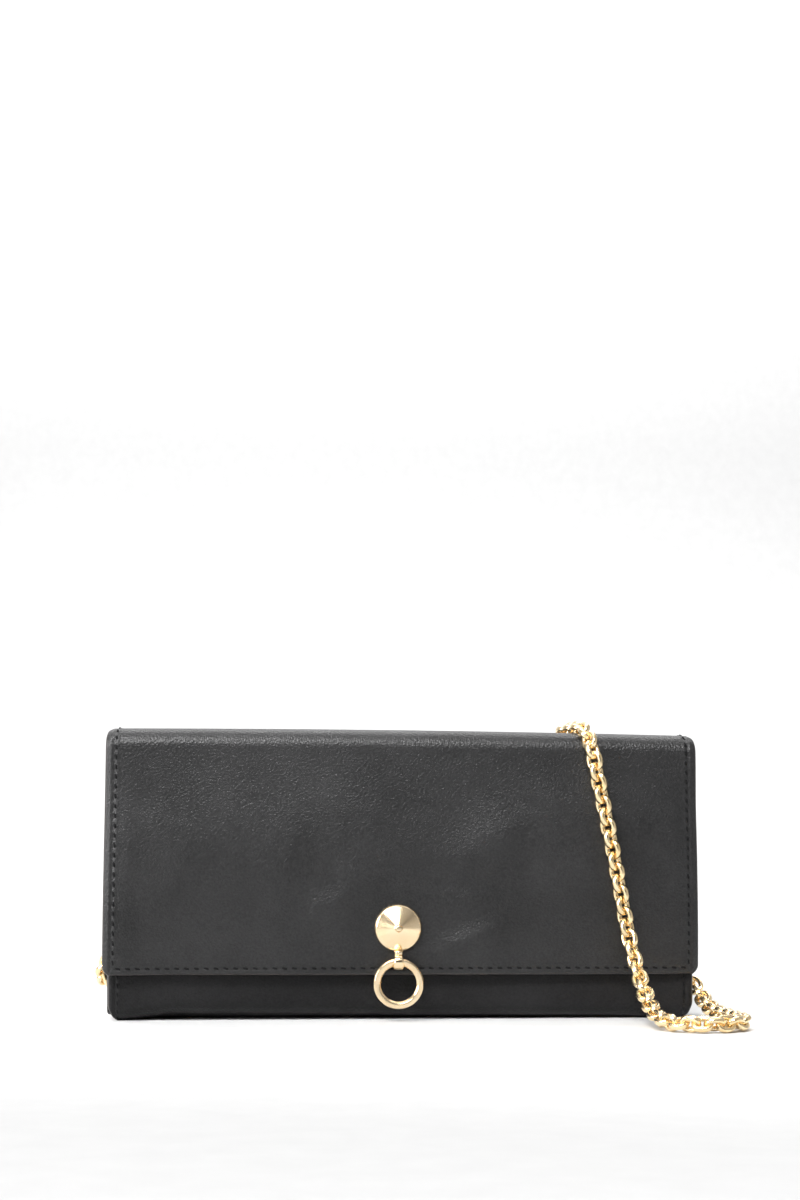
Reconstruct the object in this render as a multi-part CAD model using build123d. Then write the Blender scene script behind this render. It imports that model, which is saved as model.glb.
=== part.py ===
from build123d import *
import math
import os

os.makedirs("parts", exist_ok=True)

# Chain wallet: a flap wallet that stands on its base, with a chain strap draped over it.
# Millimetres. X is the width, -Y is the front, +Z is up. The origin is the middle of the base of the
# wallet's box, and depth is counted from the outside of the back wall towards the front.

# ---------------------------------------------------------------- overall sizes
HEIGHT = 94.0
BODY_WIDTH = 186.6
FLAP_BOTTOM_WIDTH = 190.0
FLAP_SHOULDER_WIDTH = 187.0
TOP_WIDTH = 181.2
SHOULDER_Z = 86.0
FLAP_BOTTOM_Z = 14.6
FLAP_CORNER_RADIUS = 3.2
FRONT_WALL_TOP_Z = 84.0
GUSSET_TOP_Z = 80.0

# ---------------------------------------------------------------- sheet thicknesses
LEATHER = 1.2
LINING = 0.6
CARD_PANEL = 0.5
GUSSET = 0.8
POCKET_LEATHER = 0.6
POCKET_LINING = 0.4

# ---------------------------------------------------------------- layers, back to front
BACK_CARD_ROWS = 4
FRONT_CARD_ROWS = 2
BILL_GAP = 4.6
COIN_GAP = 5.0
SNAP_GAP = 3.0
STUD_HEIGHT = 4.7

BACK_WALL = LEATHER + LINING
BACK_CARDS = BACK_WALL + BACK_CARD_ROWS * CARD_PANEL
POCKET_BACK = BACK_CARDS + BILL_GAP
COIN_BACK = POCKET_BACK + POCKET_LEATHER + POCKET_LINING
COIN_FRONT = COIN_BACK + COIN_GAP
POCKET_FRONT = COIN_FRONT + POCKET_LINING + POCKET_LEATHER
FRONT_CARDS = POCKET_FRONT + BILL_GAP
FRONT_LINING = FRONT_CARDS + FRONT_CARD_ROWS * CARD_PANEL
FRONT_LEATHER = FRONT_LINING + LINING
FRONT_FACE = FRONT_LEATHER + LEATHER
FLAP_INSIDE = FRONT_FACE + SNAP_GAP
FLAP_LEATHER = FLAP_INSIDE + LINING
FLAP_FACE = FLAP_LEATHER + LEATHER
BACK_Y = (FLAP_FACE + STUD_HEIGHT) / 2
POCKET_MIDDLE = (COIN_BACK + COIN_FRONT) / 2

# ---------------------------------------------------------------- folds
BASE_RADIUS = 5.0
TOP_RADIUS = 6.0
CREASE_HALF_GAP = 1.5
TOP_ARC_Z = HEIGHT - TOP_RADIUS
REAR_ARC_Y = BACK_Y - TOP_RADIUS
FRONT_ARC_Y = BACK_Y - FLAP_FACE + TOP_RADIUS

# ---------------------------------------------------------------- card panels and coin pocket
CARD_PANEL_WIDTH = 172.0
CARD_PANEL_BOTTOM_Z = 6.0
BACK_CARD_TOP_Z = 80.0
FRONT_CARD_TOP_Z = 78.0
CARD_STEP = 9.0
POCKET_WIDTH = 156.8
POCKET_BOTTOM_Z = 2.4
POCKET_TOP_Z = 73.6

# ---------------------------------------------------------------- zip
ZIP_Z = 72.9
TAPE_THICKNESS = 0.5
TOOTH_PITCH = 2.6
TOOTH_LENGTH = 1.1
TOOTH_WIDTH = 1.4
TOOTH_HEIGHT = 1.6
TOOTH_REACH = 0.4
TOOTH_COUNT = 51
ZIP_FIRST_TOOTH_X = -71.0
SLIDER_X = 64.0
SLIDER_LENGTH = 8.0
SLIDER_PLATE = 0.9
SLIDER_CLEARANCE = 0.3
PULLER_LENGTH = 13.0
PULLER_WIDTH = 4.4
PULLER_THICKNESS = 1.0

# ---------------------------------------------------------------- gussets and ring tabs
GUSSET_EDGE_X = 93.1
GUSSET_MARGIN_X = 90.5
GUSSET_FOLD_X = 79.0
GUSSET_FLAT = 8.0
TAB_LEATHER = 0.8
TAB_WIDTH = 5.2
TAB_TOP_Z = 79.0
D_RING_X = 83.3
D_RING_Z = 69.0
D_RING_RADIUS = 3.6
D_RING_LEG = 1.4
D_RING_WIRE = 0.8
D_RING_PLAY = 0.08
END_RING_RADIUS = 2.9
END_RING_WIRE = 0.6

# ---------------------------------------------------------------- snap, hanger and pull ring
SNAP_Z = 29.6
STUD_RADIUS = 7.55
STUD_RIM = 1.1
SHANK_RADIUS = 1.5
SOCKET_RADIUS = 5.5
SOCKET_HEIGHT = 2.0
SOCKET_BORE = 2.15
BALL_RADIUS = 1.95
BALL_NECK_RADIUS = 1.65
BALL_FLANGE = 0.6
HANGER_TOP_Z = 22.0
HANGER_RADIUS = 1.5
EYE_RADIUS = 2.25
EYE_BORE = 1.5
EYE_WIDTH = 3.4
RING_RADIUS = 6.8
RING_WIRE = 1.2
RING_Z = 12.1
RING_Y = BACK_Y - FLAP_FACE - EYE_RADIUS - 0.05

# ---------------------------------------------------------------- chain strap
CHAIN_DIAMETER = 5.5
CHAIN_START_Z = 59.0
COIL_X = -8.0
COIL_Y = 64.1
COIL_OUTER = 38.6
COIL_INNER = 27.4
COIL_LAYER = 4.9


# ---------------------------------------------------------------- helpers
def y_at(depth):
    """Y of a layer at this depth from the outside of the back wall."""
    return BACK_Y - depth


def slab(width, back, front, bottom, top, x=0.0):
    """A flat upright sheet between two depths."""
    centre = Pos(x, (y_at(back) + y_at(front)) / 2, (bottom + top) / 2)
    return centre * Box(width, front - back, top - bottom)


def tub(back, front, bottom, top, radius):
    """Upright section with two rounded corners at the bottom, in the plane across the width."""
    outline = Rectangle(front - back, top - bottom, align=(Align.MIN, Align.MIN))
    outline = fillet(outline.vertices().group_by(Axis.Y)[0], radius)
    return Plane.YZ * Pos(y_at(front), bottom) * outline


def across(section, width):
    """Extrudes a section along the width, half to each side."""
    return extrude(section, amount=width / 2, both=True)


def band(y, outer_radius, thickness, start, end):
    """Section of a curved sheet about the top arc at y, from one angle to another."""
    inner_radius = outer_radius - thickness
    outer = CenterArc((y, TOP_ARC_Z), outer_radius, start, end - start)
    inner = CenterArc((y, TOP_ARC_Z), inner_radius, start, end - start)
    edges = [outer, Line(outer @ 1, inner @ 1), inner, Line(inner @ 0, outer @ 0)]
    return Plane.YZ * make_face(edges)


def strip_section(outer_radius, thickness):
    """Section of the spine over the top: a flat stretch with half of each crease arc at its ends."""
    flat = Rectangle(REAR_ARC_Y - FRONT_ARC_Y, thickness, align=(Align.MIN, Align.MIN))
    flat = Plane.YZ * Pos(FRONT_ARC_Y, TOP_ARC_Z + outer_radius - thickness) * flat
    rear = band(REAR_ARC_Y, outer_radius, thickness, 45 + CREASE_HALF_GAP, 90)
    front = band(FRONT_ARC_Y, outer_radius, thickness, 90, 135 - CREASE_HALF_GAP)
    return flat + rear + front


def outline_prism(bottom_z, bottom_width, corner_radius, inset=0.0):
    """Front view of the leather: wide at the foot, waisted at the shoulders, narrowest over the top."""
    half_widths = [bottom_width / 2, FLAP_SHOULDER_WIDTH / 2, TOP_WIDTH / 2]
    heights = [bottom_z + inset, SHOULDER_Z, HEIGHT + 1.0]
    right = [(w - inset, z) for w, z in zip(half_widths, heights)]
    left = [(-x, z) for x, z in reversed(right)]
    face = make_face(Polyline(*right, *left, close=True))
    if corner_radius:
        face = fillet(face.vertices().group_by(Axis.Y)[0], corner_radius)
    return extrude(Plane.XZ * face, amount=60, both=True)


def turned(profile_points):
    """Solid of revolution about Z from (radius, height) points."""
    return revolve(Plane.XZ * make_face(Polyline(*profile_points, close=True)), Axis.Z)


def facing_front(solid, z, depth):
    """Lays a solid that was made along +Z so that +Z points out of the front, at this depth."""
    return Pos(0, y_at(depth), z) * Rot(90, 0, 0) * solid


def cylinder_x(radius, length, x, y, z):
    return Pos(x, y, z) * Rot(0, 90, 0) * Cylinder(radius, length)


def cylinder_y(radius, length, x, y, z):
    return Pos(x, y, z) * Rot(90, 0, 0) * Cylinder(radius, length)


# ---------------------------------------------------------------- body
def body_leather():
    """One piece of leather: front wall, rounded base, back wall and the lower half of the rear crease."""
    shell = tub(0, FRONT_FACE, 0, TOP_ARC_Z, BASE_RADIUS)
    shell -= tub(LEATHER, FRONT_LEATHER, LEATHER, TOP_ARC_Z + 1, BASE_RADIUS - LEATHER)
    crease = band(REAR_ARC_Y, TOP_RADIUS, LEATHER, 0, 45 - CREASE_HALF_GAP)
    solid = across(shell, BODY_WIDTH) + across(crease, BODY_WIDTH)
    solid -= slab(BODY_WIDTH + 2, BACK_CARDS, FRONT_FACE + 1, FRONT_WALL_TOP_Z, HEIGHT)
    return solid & outline_prism(-1.0, BODY_WIDTH, 0)


def body_lining():
    """Fabric inside the body leather, glued to it all over."""
    shell = tub(LEATHER, FRONT_LEATHER, LEATHER, TOP_ARC_Z, BASE_RADIUS - LEATHER)
    inside = tub(BACK_WALL, FRONT_LINING, BACK_WALL, TOP_ARC_Z + 1, BASE_RADIUS - BACK_WALL)
    shell -= inside
    crease = band(REAR_ARC_Y, TOP_RADIUS - LEATHER, LINING, 0, 45 - CREASE_HALF_GAP)
    solid = across(shell, BODY_WIDTH) + across(crease, BODY_WIDTH)
    solid -= slab(BODY_WIDTH + 2, BACK_CARDS, FRONT_FACE + 1, FRONT_WALL_TOP_Z, HEIGHT)
    return solid & outline_prism(-1.0, BODY_WIDTH, 0)


def gusset(side):
    """Side panel folded inward between the walls, open to the outside as a recess for the chain."""
    back = BACK_WALL + GUSSET / 2
    front = FRONT_LINING - GUSSET / 2
    flat_back = POCKET_MIDDLE - GUSSET_FLAT / 2
    flat_front = POCKET_MIDDLE + GUSSET_FLAT / 2
    fold = [
        (GUSSET_EDGE_X, back),
        (GUSSET_MARGIN_X, back),
        (GUSSET_FOLD_X, flat_back),
        (GUSSET_FOLD_X, flat_front),
        (GUSSET_MARGIN_X, front),
        (GUSSET_EDGE_X, front),
    ]
    line = Polyline(*[(side * x, y_at(depth)) for x, depth in fold])
    section = make_face(offset(line, amount=GUSSET / 2 - 0.02))
    upright = extrude(section, amount=GUSSET_TOP_Z)
    inside = tub(BACK_WALL, FRONT_LINING, BACK_WALL, GUSSET_TOP_Z, BASE_RADIUS - BACK_WALL)
    return upright & across(inside, BODY_WIDTH)


def card_panel(row, back, top_z):
    return slab(CARD_PANEL_WIDTH, back, back + CARD_PANEL, CARD_PANEL_BOTTOM_Z, top_z - row * CARD_STEP)


# ---------------------------------------------------------------- coin pocket and its zip
def pocket_leather(back):
    return slab(POCKET_WIDTH, back, back + POCKET_LEATHER, POCKET_BOTTOM_Z, POCKET_TOP_Z)


def pocket_lining():
    back = COIN_BACK - POCKET_LINING
    front = COIN_FRONT + POCKET_LINING
    bag = tub(back, front, POCKET_BOTTOM_Z, POCKET_TOP_Z, 1.5)
    bag -= tub(COIN_BACK, COIN_FRONT, POCKET_BOTTOM_Z + POCKET_LINING, POCKET_TOP_Z + 1, 1.1)
    return across(bag, POCKET_WIDTH)


def zip_tape(edge, toward):
    """Woven tape from the pocket's lining to the teeth, on one side of the zip."""
    teeth_edge = POCKET_MIDDLE - toward * (TOOTH_WIDTH - TOOTH_REACH)
    back, front = sorted((edge, teeth_edge))
    half = TAPE_THICKNESS / 2
    return slab(POCKET_WIDTH, back, front, ZIP_Z - half, ZIP_Z + half)


def zip_teeth(toward, shift):
    """One row of teeth. Each reaches past the middle, between two teeth of the other row."""
    outer = POCKET_MIDDLE - toward * (TOOTH_WIDTH - TOOTH_REACH)
    tip = POCKET_MIDDLE + toward * TOOTH_REACH
    back, front = sorted((outer, tip))
    half = TOOTH_HEIGHT / 2
    teeth = []
    for number in range(TOOTH_COUNT):
        x = ZIP_FIRST_TOOTH_X + shift + number * TOOTH_PITCH
        teeth.append(slab(TOOTH_LENGTH, back, front, ZIP_Z - half, ZIP_Z + half, x))
    return Compound(children=teeth)


def zip_stops():
    """The stop where the zip starts and the one that the closed slider meets."""
    half = TOOTH_HEIGHT / 2
    width = TOOTH_WIDTH
    places = [ZIP_FIRST_TOOTH_X - 2.4, SLIDER_X + SLIDER_LENGTH / 2 + 1.6]
    stops = []
    for x in places:
        back = POCKET_MIDDLE - width / 2
        stops.append(slab(2.0, back, back + width, ZIP_Z - half, ZIP_Z + half, x))
    return Compound(children=stops)


def zip_slider():
    """Two plates round the teeth, joined by the post that parts them, with an arch on top for the puller."""
    reach = TOOTH_HEIGHT / 2 + SLIDER_CLEARANCE
    top = ZIP_Z + reach
    bottom = ZIP_Z - reach
    upper = Box(SLIDER_LENGTH, 5.0, SLIDER_PLATE, align=(Align.CENTER, Align.CENTER, Align.MIN))
    upper = fillet(upper.edges().filter_by(Axis.Z), 1.2)
    lower = Box(SLIDER_LENGTH, 4.2, SLIDER_PLATE, align=(Align.CENTER, Align.CENTER, Align.MAX))
    lower = fillet(lower.edges().filter_by(Axis.Z), 1.2)
    post = Pos(3.0, 0, ZIP_Z) * Box(1.4, 1.2, 2 * reach)
    arch = Box(5.6, 1.6, 2.6, align=(Align.CENTER, Align.CENTER, Align.MIN))
    arch = fillet(arch.edges().filter_by(Axis.Y).group_by(Axis.Z)[-1], 1.2)
    arch -= Pos(0, 0, 0.35) * Box(3.6, 2.0, 1.5, align=(Align.CENTER, Align.CENTER, Align.MIN))
    body = Pos(0, 0, top) * upper + Pos(0, 0, bottom) * lower + post
    body += Pos(0, 0, top + SLIDER_PLATE) * arch
    return Pos(SLIDER_X, y_at(POCKET_MIDDLE), 0) * body


PULLER_PIVOT_Z = ZIP_Z + TOOTH_HEIGHT / 2 + SLIDER_CLEARANCE + SLIDER_PLATE + 1.1


def zip_puller():
    """Tab with two arms and a cross pin through the slider's arch, lying towards -X."""
    arm_length = 5.0
    pin = cylinder_y(0.5, PULLER_WIDTH, 0, 0, 0)
    arms = [Pos(-arm_length / 2, s * 1.7, 0) * Box(arm_length + 1.0, 1.0, PULLER_THICKNESS) for s in (-1, 1)]
    tab_length = PULLER_LENGTH - arm_length + 1.0
    tab = Pos(-arm_length + 1.0 - tab_length / 2, 0, 0) * Box(tab_length, PULLER_WIDTH, PULLER_THICKNESS)
    tab = fillet(tab.edges().filter_by(Axis.Z).group_by(Axis.X)[0], 2.0)
    solid = pin + arms[0] + arms[1] + tab
    solid -= Pos(-PULLER_LENGTH + 2.6, 0, 0) * Cylinder(0.8, 2 * PULLER_THICKNESS)
    return Pos(SLIDER_X, y_at(POCKET_MIDDLE), PULLER_PIVOT_Z) * solid


# ---------------------------------------------------------------- spine and flap
def flap_section(outer_radius, thickness):
    """Section of the flap: the lower half of the front crease and the panel that hangs from it."""
    crease = band(FRONT_ARC_Y, outer_radius, thickness, 135 + CREASE_HALF_GAP, 180)
    height = TOP_ARC_Z - FLAP_BOTTOM_Z
    panel = Rectangle(thickness, height, align=(Align.MIN, Align.MIN))
    return crease + Plane.YZ * Pos(FRONT_ARC_Y - outer_radius, FLAP_BOTTOM_Z) * panel


def flap_sheet(outer_radius, thickness):
    """The flap's outline cut from its bent section, with holes for the snap and the hanger."""
    solid = across(flap_section(outer_radius, thickness), FLAP_BOTTOM_WIDTH)
    solid &= outline_prism(FLAP_BOTTOM_Z, FLAP_BOTTOM_WIDTH, FLAP_CORNER_RADIUS)
    solid -= cylinder_y(SHANK_RADIUS + 0.1, 40, 0, y_at(FLAP_FACE), SNAP_Z)
    solid -= cylinder_y(0.9, 40, 0, y_at(FLAP_FACE), HANGER_TOP_Z - 1.4)
    return solid


# ---------------------------------------------------------------- snap, hanger and pull ring
def snap_stud():
    """Cone with a rounded rim and a small blunt point, on a shank through the flap into the socket."""
    r = STUD_RADIUS
    cone = turned([(0, 0), (r - 0.5, 0), (r, 0.5), (r, STUD_RIM), (1.1, 4.0), (0.9, STUD_HEIGHT), (0, STUD_HEIGHT)])
    cone = fillet(cone.edges().filter_by(GeomType.CIRCLE).group_by(Axis.Z)[-1], 0.5)
    shank_length = LEATHER + LINING + 0.4
    shank = Cylinder(SHANK_RADIUS, shank_length, align=(Align.CENTER, Align.CENTER, Align.MAX))
    return facing_front(cone + shank, SNAP_Z, FLAP_FACE)


def snap_socket():
    """Cup on the inside of the flap, riveted on the stud's shank, that takes the ball."""
    cup = Cylinder(SOCKET_RADIUS, SOCKET_HEIGHT, align=(Align.CENTER, Align.CENTER, Align.MAX))
    cup = fillet(cup.edges().filter_by(GeomType.CIRCLE).group_by(Axis.Z)[0], 0.5)
    bore = Pos(0, 0, -SOCKET_HEIGHT) * Cylinder(SOCKET_BORE, 2.6)
    groove = Pos(0, 0, -SOCKET_HEIGHT + 0.9) * Cylinder(SOCKET_BORE + 0.6, 0.5)
    seat = Cylinder(SHANK_RADIUS + 0.02, 0.8)
    return facing_front(cup - bore - groove - seat, SNAP_Z, FLAP_INSIDE)


def snap_spring():
    """Wire ring in the socket's groove that grips the ball's neck."""
    ring = Torus(SOCKET_BORE + 0.25, 0.22)
    return facing_front(Pos(0, 0, -SOCKET_HEIGHT + 0.9) * ring, SNAP_Z, FLAP_INSIDE)


def snap_ball():
    """Ball on a flange on the outside of the front wall, closed through it by its own rivet."""
    length = BALL_FLANGE + 1.7
    profile = [
        (0, 0),
        (5.0, 0),
        (5.0, 0.35),
        (4.0, BALL_FLANGE),
        (BALL_NECK_RADIUS, BALL_FLANGE),
        (BALL_NECK_RADIUS, length - 0.9),
        (BALL_RADIUS, length - 0.5),
        (BALL_NECK_RADIUS, length),
        (0, length),
    ]
    stem = Cylinder(1.2, LEATHER, align=(Align.CENTER, Align.CENTER, Align.MAX))
    return facing_front(turned(profile) + stem, SNAP_Z, FRONT_FACE)


def snap_ball_rivet():
    """Flat rivet head behind the front wall's leather, under the lining."""
    head = Cylinder(4.5, 0.4, align=(Align.CENTER, Align.CENTER, Align.MAX))
    return facing_front(head, SNAP_Z, FRONT_LEATHER)


def ring_hanger():
    """Collared post below the stud with an eye across it for the pull ring, pinned through the flap."""
    face = y_at(FLAP_FACE)
    collar = Cylinder(HANGER_RADIUS, 1.6, align=(Align.CENTER, Align.CENTER, Align.MAX))
    collar = Pos(0, RING_Y, HANGER_TOP_Z) * collar
    neck = Cylinder(HANGER_RADIUS - 0.15, 4.0, align=(Align.CENTER, Align.CENTER, Align.MAX))
    neck = Pos(0, RING_Y, HANGER_TOP_Z - 1.0) * neck
    eye_z = RING_Z + RING_RADIUS
    eye = cylinder_x(EYE_RADIUS, EYE_WIDTH, 0, RING_Y, eye_z)
    pin_length = face - RING_Y + FLAP_FACE - FLAP_INSIDE + 0.5
    pin = cylinder_y(0.8, pin_length, 0, RING_Y + pin_length / 2, HANGER_TOP_Z - 1.4)
    return collar + neck + eye + pin - cylinder_x(EYE_BORE, EYE_WIDTH + 1, 0, RING_Y, eye_z)


def hanger_washer():
    disc = Cylinder(2.4, 0.5, align=(Align.CENTER, Align.CENTER, Align.MAX)) - Cylinder(0.82, 2.0)
    return facing_front(disc, HANGER_TOP_Z - 1.4, FLAP_INSIDE)


def pull_ring():
    return Pos(0, RING_Y, RING_Z) * Rot(90, 0, 0) * Torus(RING_RADIUS, RING_WIRE)


# ---------------------------------------------------------------- chain anchors
def ring_tab(side):
    """Leather loop on the gusset's fold that holds the D-ring's straight bar."""
    inner_x = GUSSET_FOLD_X + GUSSET / 2
    y = y_at(POCKET_MIDDLE)
    thickness = 2 * TAB_LEATHER
    height = TAB_TOP_Z - D_RING_Z
    plate = Pos(side * (inner_x + thickness / 2), y, D_RING_Z + height / 2)
    loop_radius = D_RING_WIRE + D_RING_PLAY + TAB_LEATHER
    solid = plate * Box(thickness, TAB_WIDTH, height)
    solid += cylinder_y(loop_radius, TAB_WIDTH, side * D_RING_X, y, D_RING_Z)
    web = D_RING_X - inner_x
    solid += Pos(side * (inner_x + web / 2), y, D_RING_Z + 0.8) * Box(web, TAB_WIDTH, 1.4)
    return solid - cylinder_y(D_RING_WIRE + D_RING_PLAY, TAB_WIDTH + 1, side * D_RING_X, y, D_RING_Z)


def d_ring(side):
    """Wire D: a straight bar through the tab, two short legs and a half circle that hangs down."""
    r = D_RING_RADIUS
    corners = [(-r, 0), (r, 0)]
    bar = Line(*corners)
    legs = [Line((r, 0), (r, -D_RING_LEG)), Line((-r, -D_RING_LEG), (-r, 0))]
    bow = CenterArc((0, -D_RING_LEG), r, 0, -180)
    path = Wire([bar, legs[0], bow, legs[1]])
    section = Plane(origin=path @ 0.01, z_dir=path % 0.01) * Circle(D_RING_WIRE)
    ring = sweep(section, path=path, transition=Transition.ROUND)
    return Pos(side * D_RING_X, y_at(POCKET_MIDDLE), D_RING_Z) * (Plane.YZ * ring)


def end_ring(side):
    """Closed ring that joins the D-ring to the first link of the chain."""
    z = CHAIN_START_Z + 0.2 + END_RING_WIRE + END_RING_RADIUS
    return Pos(side * D_RING_X, y_at(POCKET_MIDDLE), z) * Rot(90, 0, 0) * Torus(END_RING_RADIUS, END_RING_WIRE)


# ---------------------------------------------------------------- chain
# The strap hangs from the left ring, runs behind the wallet, is coiled there, climbs the back, crosses the
# top, slants down the front to the ground and turns back up into the right recess.
LEFT_ROUTE = [
    (-83.3, 4.25, 59.0),
    (-83.6, 4.1, 46.5),
    (-85.8, 4.2, 34.0),
    (-90.2, 5.0, 24.5),
    (-95.4, 8.6, 17.0),
    (-97.0, 16.8, 12.6),
    (-94.0, 23.6, 9.8),
    (-87.0, 28.6, 6.0),
    (-77.5, 32.2, 3.3),
    (-64.0, 33.8, 2.75),
    (-48.0, 30.5, 2.75),
    (-34.0, 27.0, 2.75),
    (-20.5, 25.4, 2.75),
    (-8.0, 25.5, 2.75),
]
RIGHT_ROUTE = [
    (-8.0, 28.3, 7.9),
    (8.0, 28.8, 7.9),
    (23.5, 27.2, 7.0),
    (37.5, 24.0, 7.6),
    (47.5, 21.6, 16.0),
    (51.6, 20.5, 30.0),
    (51.4, 20.2, 48.0),
    (52.4, 20.5, 68.0),
    (53.6, 20.9, 88.0),
    (55.6, 12.5, 101.0),
    (58.6, -7.0, 101.4),
    (60.9, -16.8, 90.0),
    (63.7, -15.0, 73.0),
    (67.0, -14.8, 56.0),
    (70.1, -14.7, 40.0),
    (72.9, -15.3, 27.0),
    (74.2, -20.0, 15.8),
    (75.0, -29.4, 8.4),
    (75.6, -39.6, 4.3),
    (76.6, -49.2, 3.0),
    (79.8, -55.2, 2.75),
    (85.6, -58.6, 2.75),
    (92.4, -58.6, 2.75),
    (98.2, -55.2, 2.75),
    (101.4, -49.2, 2.75),
    (101.2, -38.5, 2.75),
    (100.0, -27.0, 2.8),
    (98.6, -16.0, 3.4),
    (97.6, -6.2, 6.4),
    (95.0, 0.4, 12.2),
    (90.4, 3.7, 20.4),
    (87.0, 4.1, 31.0),
    (84.6, 4.25, 44.0),
    (83.3, 4.25, 59.0),
]


def bend_radii(points):
    """Largest radius that both runs at each corner leave room for."""
    radii = []
    for before, corner, after in zip(points, points[1:], points[2:]):
        arriving = Vector(*corner) - Vector(*before)
        leaving = Vector(*after) - Vector(*corner)
        half_turn = math.radians(arriving.get_angle(leaving)) / 2
        radii.append(0.45 * min(arriving.length, leaving.length) / math.tan(half_turn))
    return radii


def chain_run(name, points):
    """Round tube along straight runs joined by tangent arcs."""
    radii = bend_radii(points)
    path = FilletPolyline(*points, radius=radii)
    start = Plane(origin=path @ 0, z_dir=path % 0)
    tube = sweep(start * Circle(CHAIN_DIAMETER / 2), path=path)
    ideal = math.pi * (CHAIN_DIAMETER / 2) ** 2 * path.length
    print(name, "length", round(path.length, 1), "volume ratio", round(tube.volume / ideal, 4))
    print("  radii", [round(radius, 1) for radius in radii])
    return tube


def chain_coil():
    """Outer shape of the stored length: a lower layer of two turns with one more turn lying on it."""
    r = CHAIN_DIAMETER / 2
    low = COIL_INNER - r
    high = COIL_OUTER + r
    top = CHAIN_DIAMETER + COIL_LAYER
    profile = [
        (low + 1, 0),
        (high - 1, 0),
        (high, 1),
        (high, CHAIN_DIAMETER - 1),
        (high - 2.5, top),
        (low + 2.5, top),
        (low, CHAIN_DIAMETER - 1),
        (low, 1),
    ]
    return Pos(COIL_X, COIL_Y, 0) * turned(profile)


# ---------------------------------------------------------------- the whole set of parts
parts = {
    "body_leather": body_leather(),
    "body_lining": body_lining(),
    "zip_pocket_back_leather": pocket_leather(POCKET_BACK),
    "zip_pocket_front_leather": pocket_leather(COIN_FRONT + POCKET_LINING),
    "zip_pocket_lining": pocket_lining(),
    "zip_tape_back": zip_tape(COIN_BACK, 1),
    "zip_tape_front": zip_tape(COIN_FRONT, -1),
    "zip_teeth_back": zip_teeth(1, 0),
    "zip_teeth_front": zip_teeth(-1, TOOTH_PITCH / 2),
    "zip_stops": zip_stops(),
    "zip_slider": zip_slider(),
    "zip_puller": zip_puller(),
    "top_strip_leather": across(strip_section(TOP_RADIUS, LEATHER), TOP_WIDTH),
    "top_strip_lining": across(strip_section(TOP_RADIUS - LEATHER, LINING), TOP_WIDTH),
    "flap_leather": flap_sheet(TOP_RADIUS, LEATHER),
    "flap_lining": flap_sheet(TOP_RADIUS - LEATHER, LINING),
    "snap_stud": snap_stud(),
    "snap_socket": snap_socket(),
    "snap_spring": snap_spring(),
    "snap_ball": snap_ball(),
    "snap_ball_rivet": snap_ball_rivet(),
    "ring_hanger": ring_hanger(),
    "hanger_washer": hanger_washer(),
    "pull_ring": pull_ring(),
    "chain_left_run": chain_run("chain_left_run", LEFT_ROUTE),
    "chain_right_run": chain_run("chain_right_run", RIGHT_ROUTE),
    "chain_coil": chain_coil(),
}
parts["body_lining"] -= parts["snap_ball_rivet"]
parts["body_leather"] -= cylinder_y(1.3, 4, 0, y_at(FRONT_FACE), SNAP_Z)

for row in range(BACK_CARD_ROWS):
    back = BACK_WALL + row * CARD_PANEL
    parts[f"back_card_panel_{row + 1}"] = card_panel(row, back, BACK_CARD_TOP_Z)
for row in range(FRONT_CARD_ROWS):
    back = FRONT_LINING - (row + 1) * CARD_PANEL
    parts[f"front_card_panel_{row + 1}"] = card_panel(row, back, FRONT_CARD_TOP_Z)
for side_name, side in (("left", -1), ("right", 1)):
    parts[f"{side_name}_gusset"] = gusset(side)
    parts[f"{side_name}_ring_tab"] = ring_tab(side)
    parts[f"{side_name}_d_ring"] = d_ring(side)
    parts[f"{side_name}_end_ring"] = end_ring(side)

for name, solid in parts.items():
    export_step(solid, f"parts/{name}.step")
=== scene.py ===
import bmesh
import bpy
import math
import numpy as np
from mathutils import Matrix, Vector


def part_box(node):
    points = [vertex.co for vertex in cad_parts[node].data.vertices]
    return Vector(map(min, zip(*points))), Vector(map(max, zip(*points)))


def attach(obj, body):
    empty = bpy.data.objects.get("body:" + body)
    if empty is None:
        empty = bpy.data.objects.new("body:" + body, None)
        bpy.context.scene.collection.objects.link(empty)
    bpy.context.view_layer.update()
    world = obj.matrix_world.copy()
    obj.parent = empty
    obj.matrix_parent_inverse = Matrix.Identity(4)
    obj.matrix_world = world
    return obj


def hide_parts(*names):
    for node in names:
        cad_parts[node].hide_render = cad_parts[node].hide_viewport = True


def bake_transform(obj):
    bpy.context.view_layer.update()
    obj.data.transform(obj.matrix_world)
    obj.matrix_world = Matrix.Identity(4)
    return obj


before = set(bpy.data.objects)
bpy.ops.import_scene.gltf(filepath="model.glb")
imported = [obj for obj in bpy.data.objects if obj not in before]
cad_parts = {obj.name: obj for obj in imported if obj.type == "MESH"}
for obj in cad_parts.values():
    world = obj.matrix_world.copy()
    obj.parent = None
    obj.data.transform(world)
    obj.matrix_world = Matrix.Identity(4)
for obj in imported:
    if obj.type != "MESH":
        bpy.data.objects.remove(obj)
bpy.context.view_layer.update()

# Chain wallet. Shapes are worked out in millimetres and become metres in new_piece().
# X is the width, -Y is the front, +Z is up. A sheet's depth is counted from its outer face inwards.
MM = 0.001


def corners(*nodes):
    """Lowest and highest corner of some CAD nodes together, in millimetres."""
    boxes = [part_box(node) for node in nodes]
    low = np.min([lo for lo, hi in boxes], axis=0) / MM
    high = np.max([hi for lo, hi in boxes], axis=0) / MM
    return low, high


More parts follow.
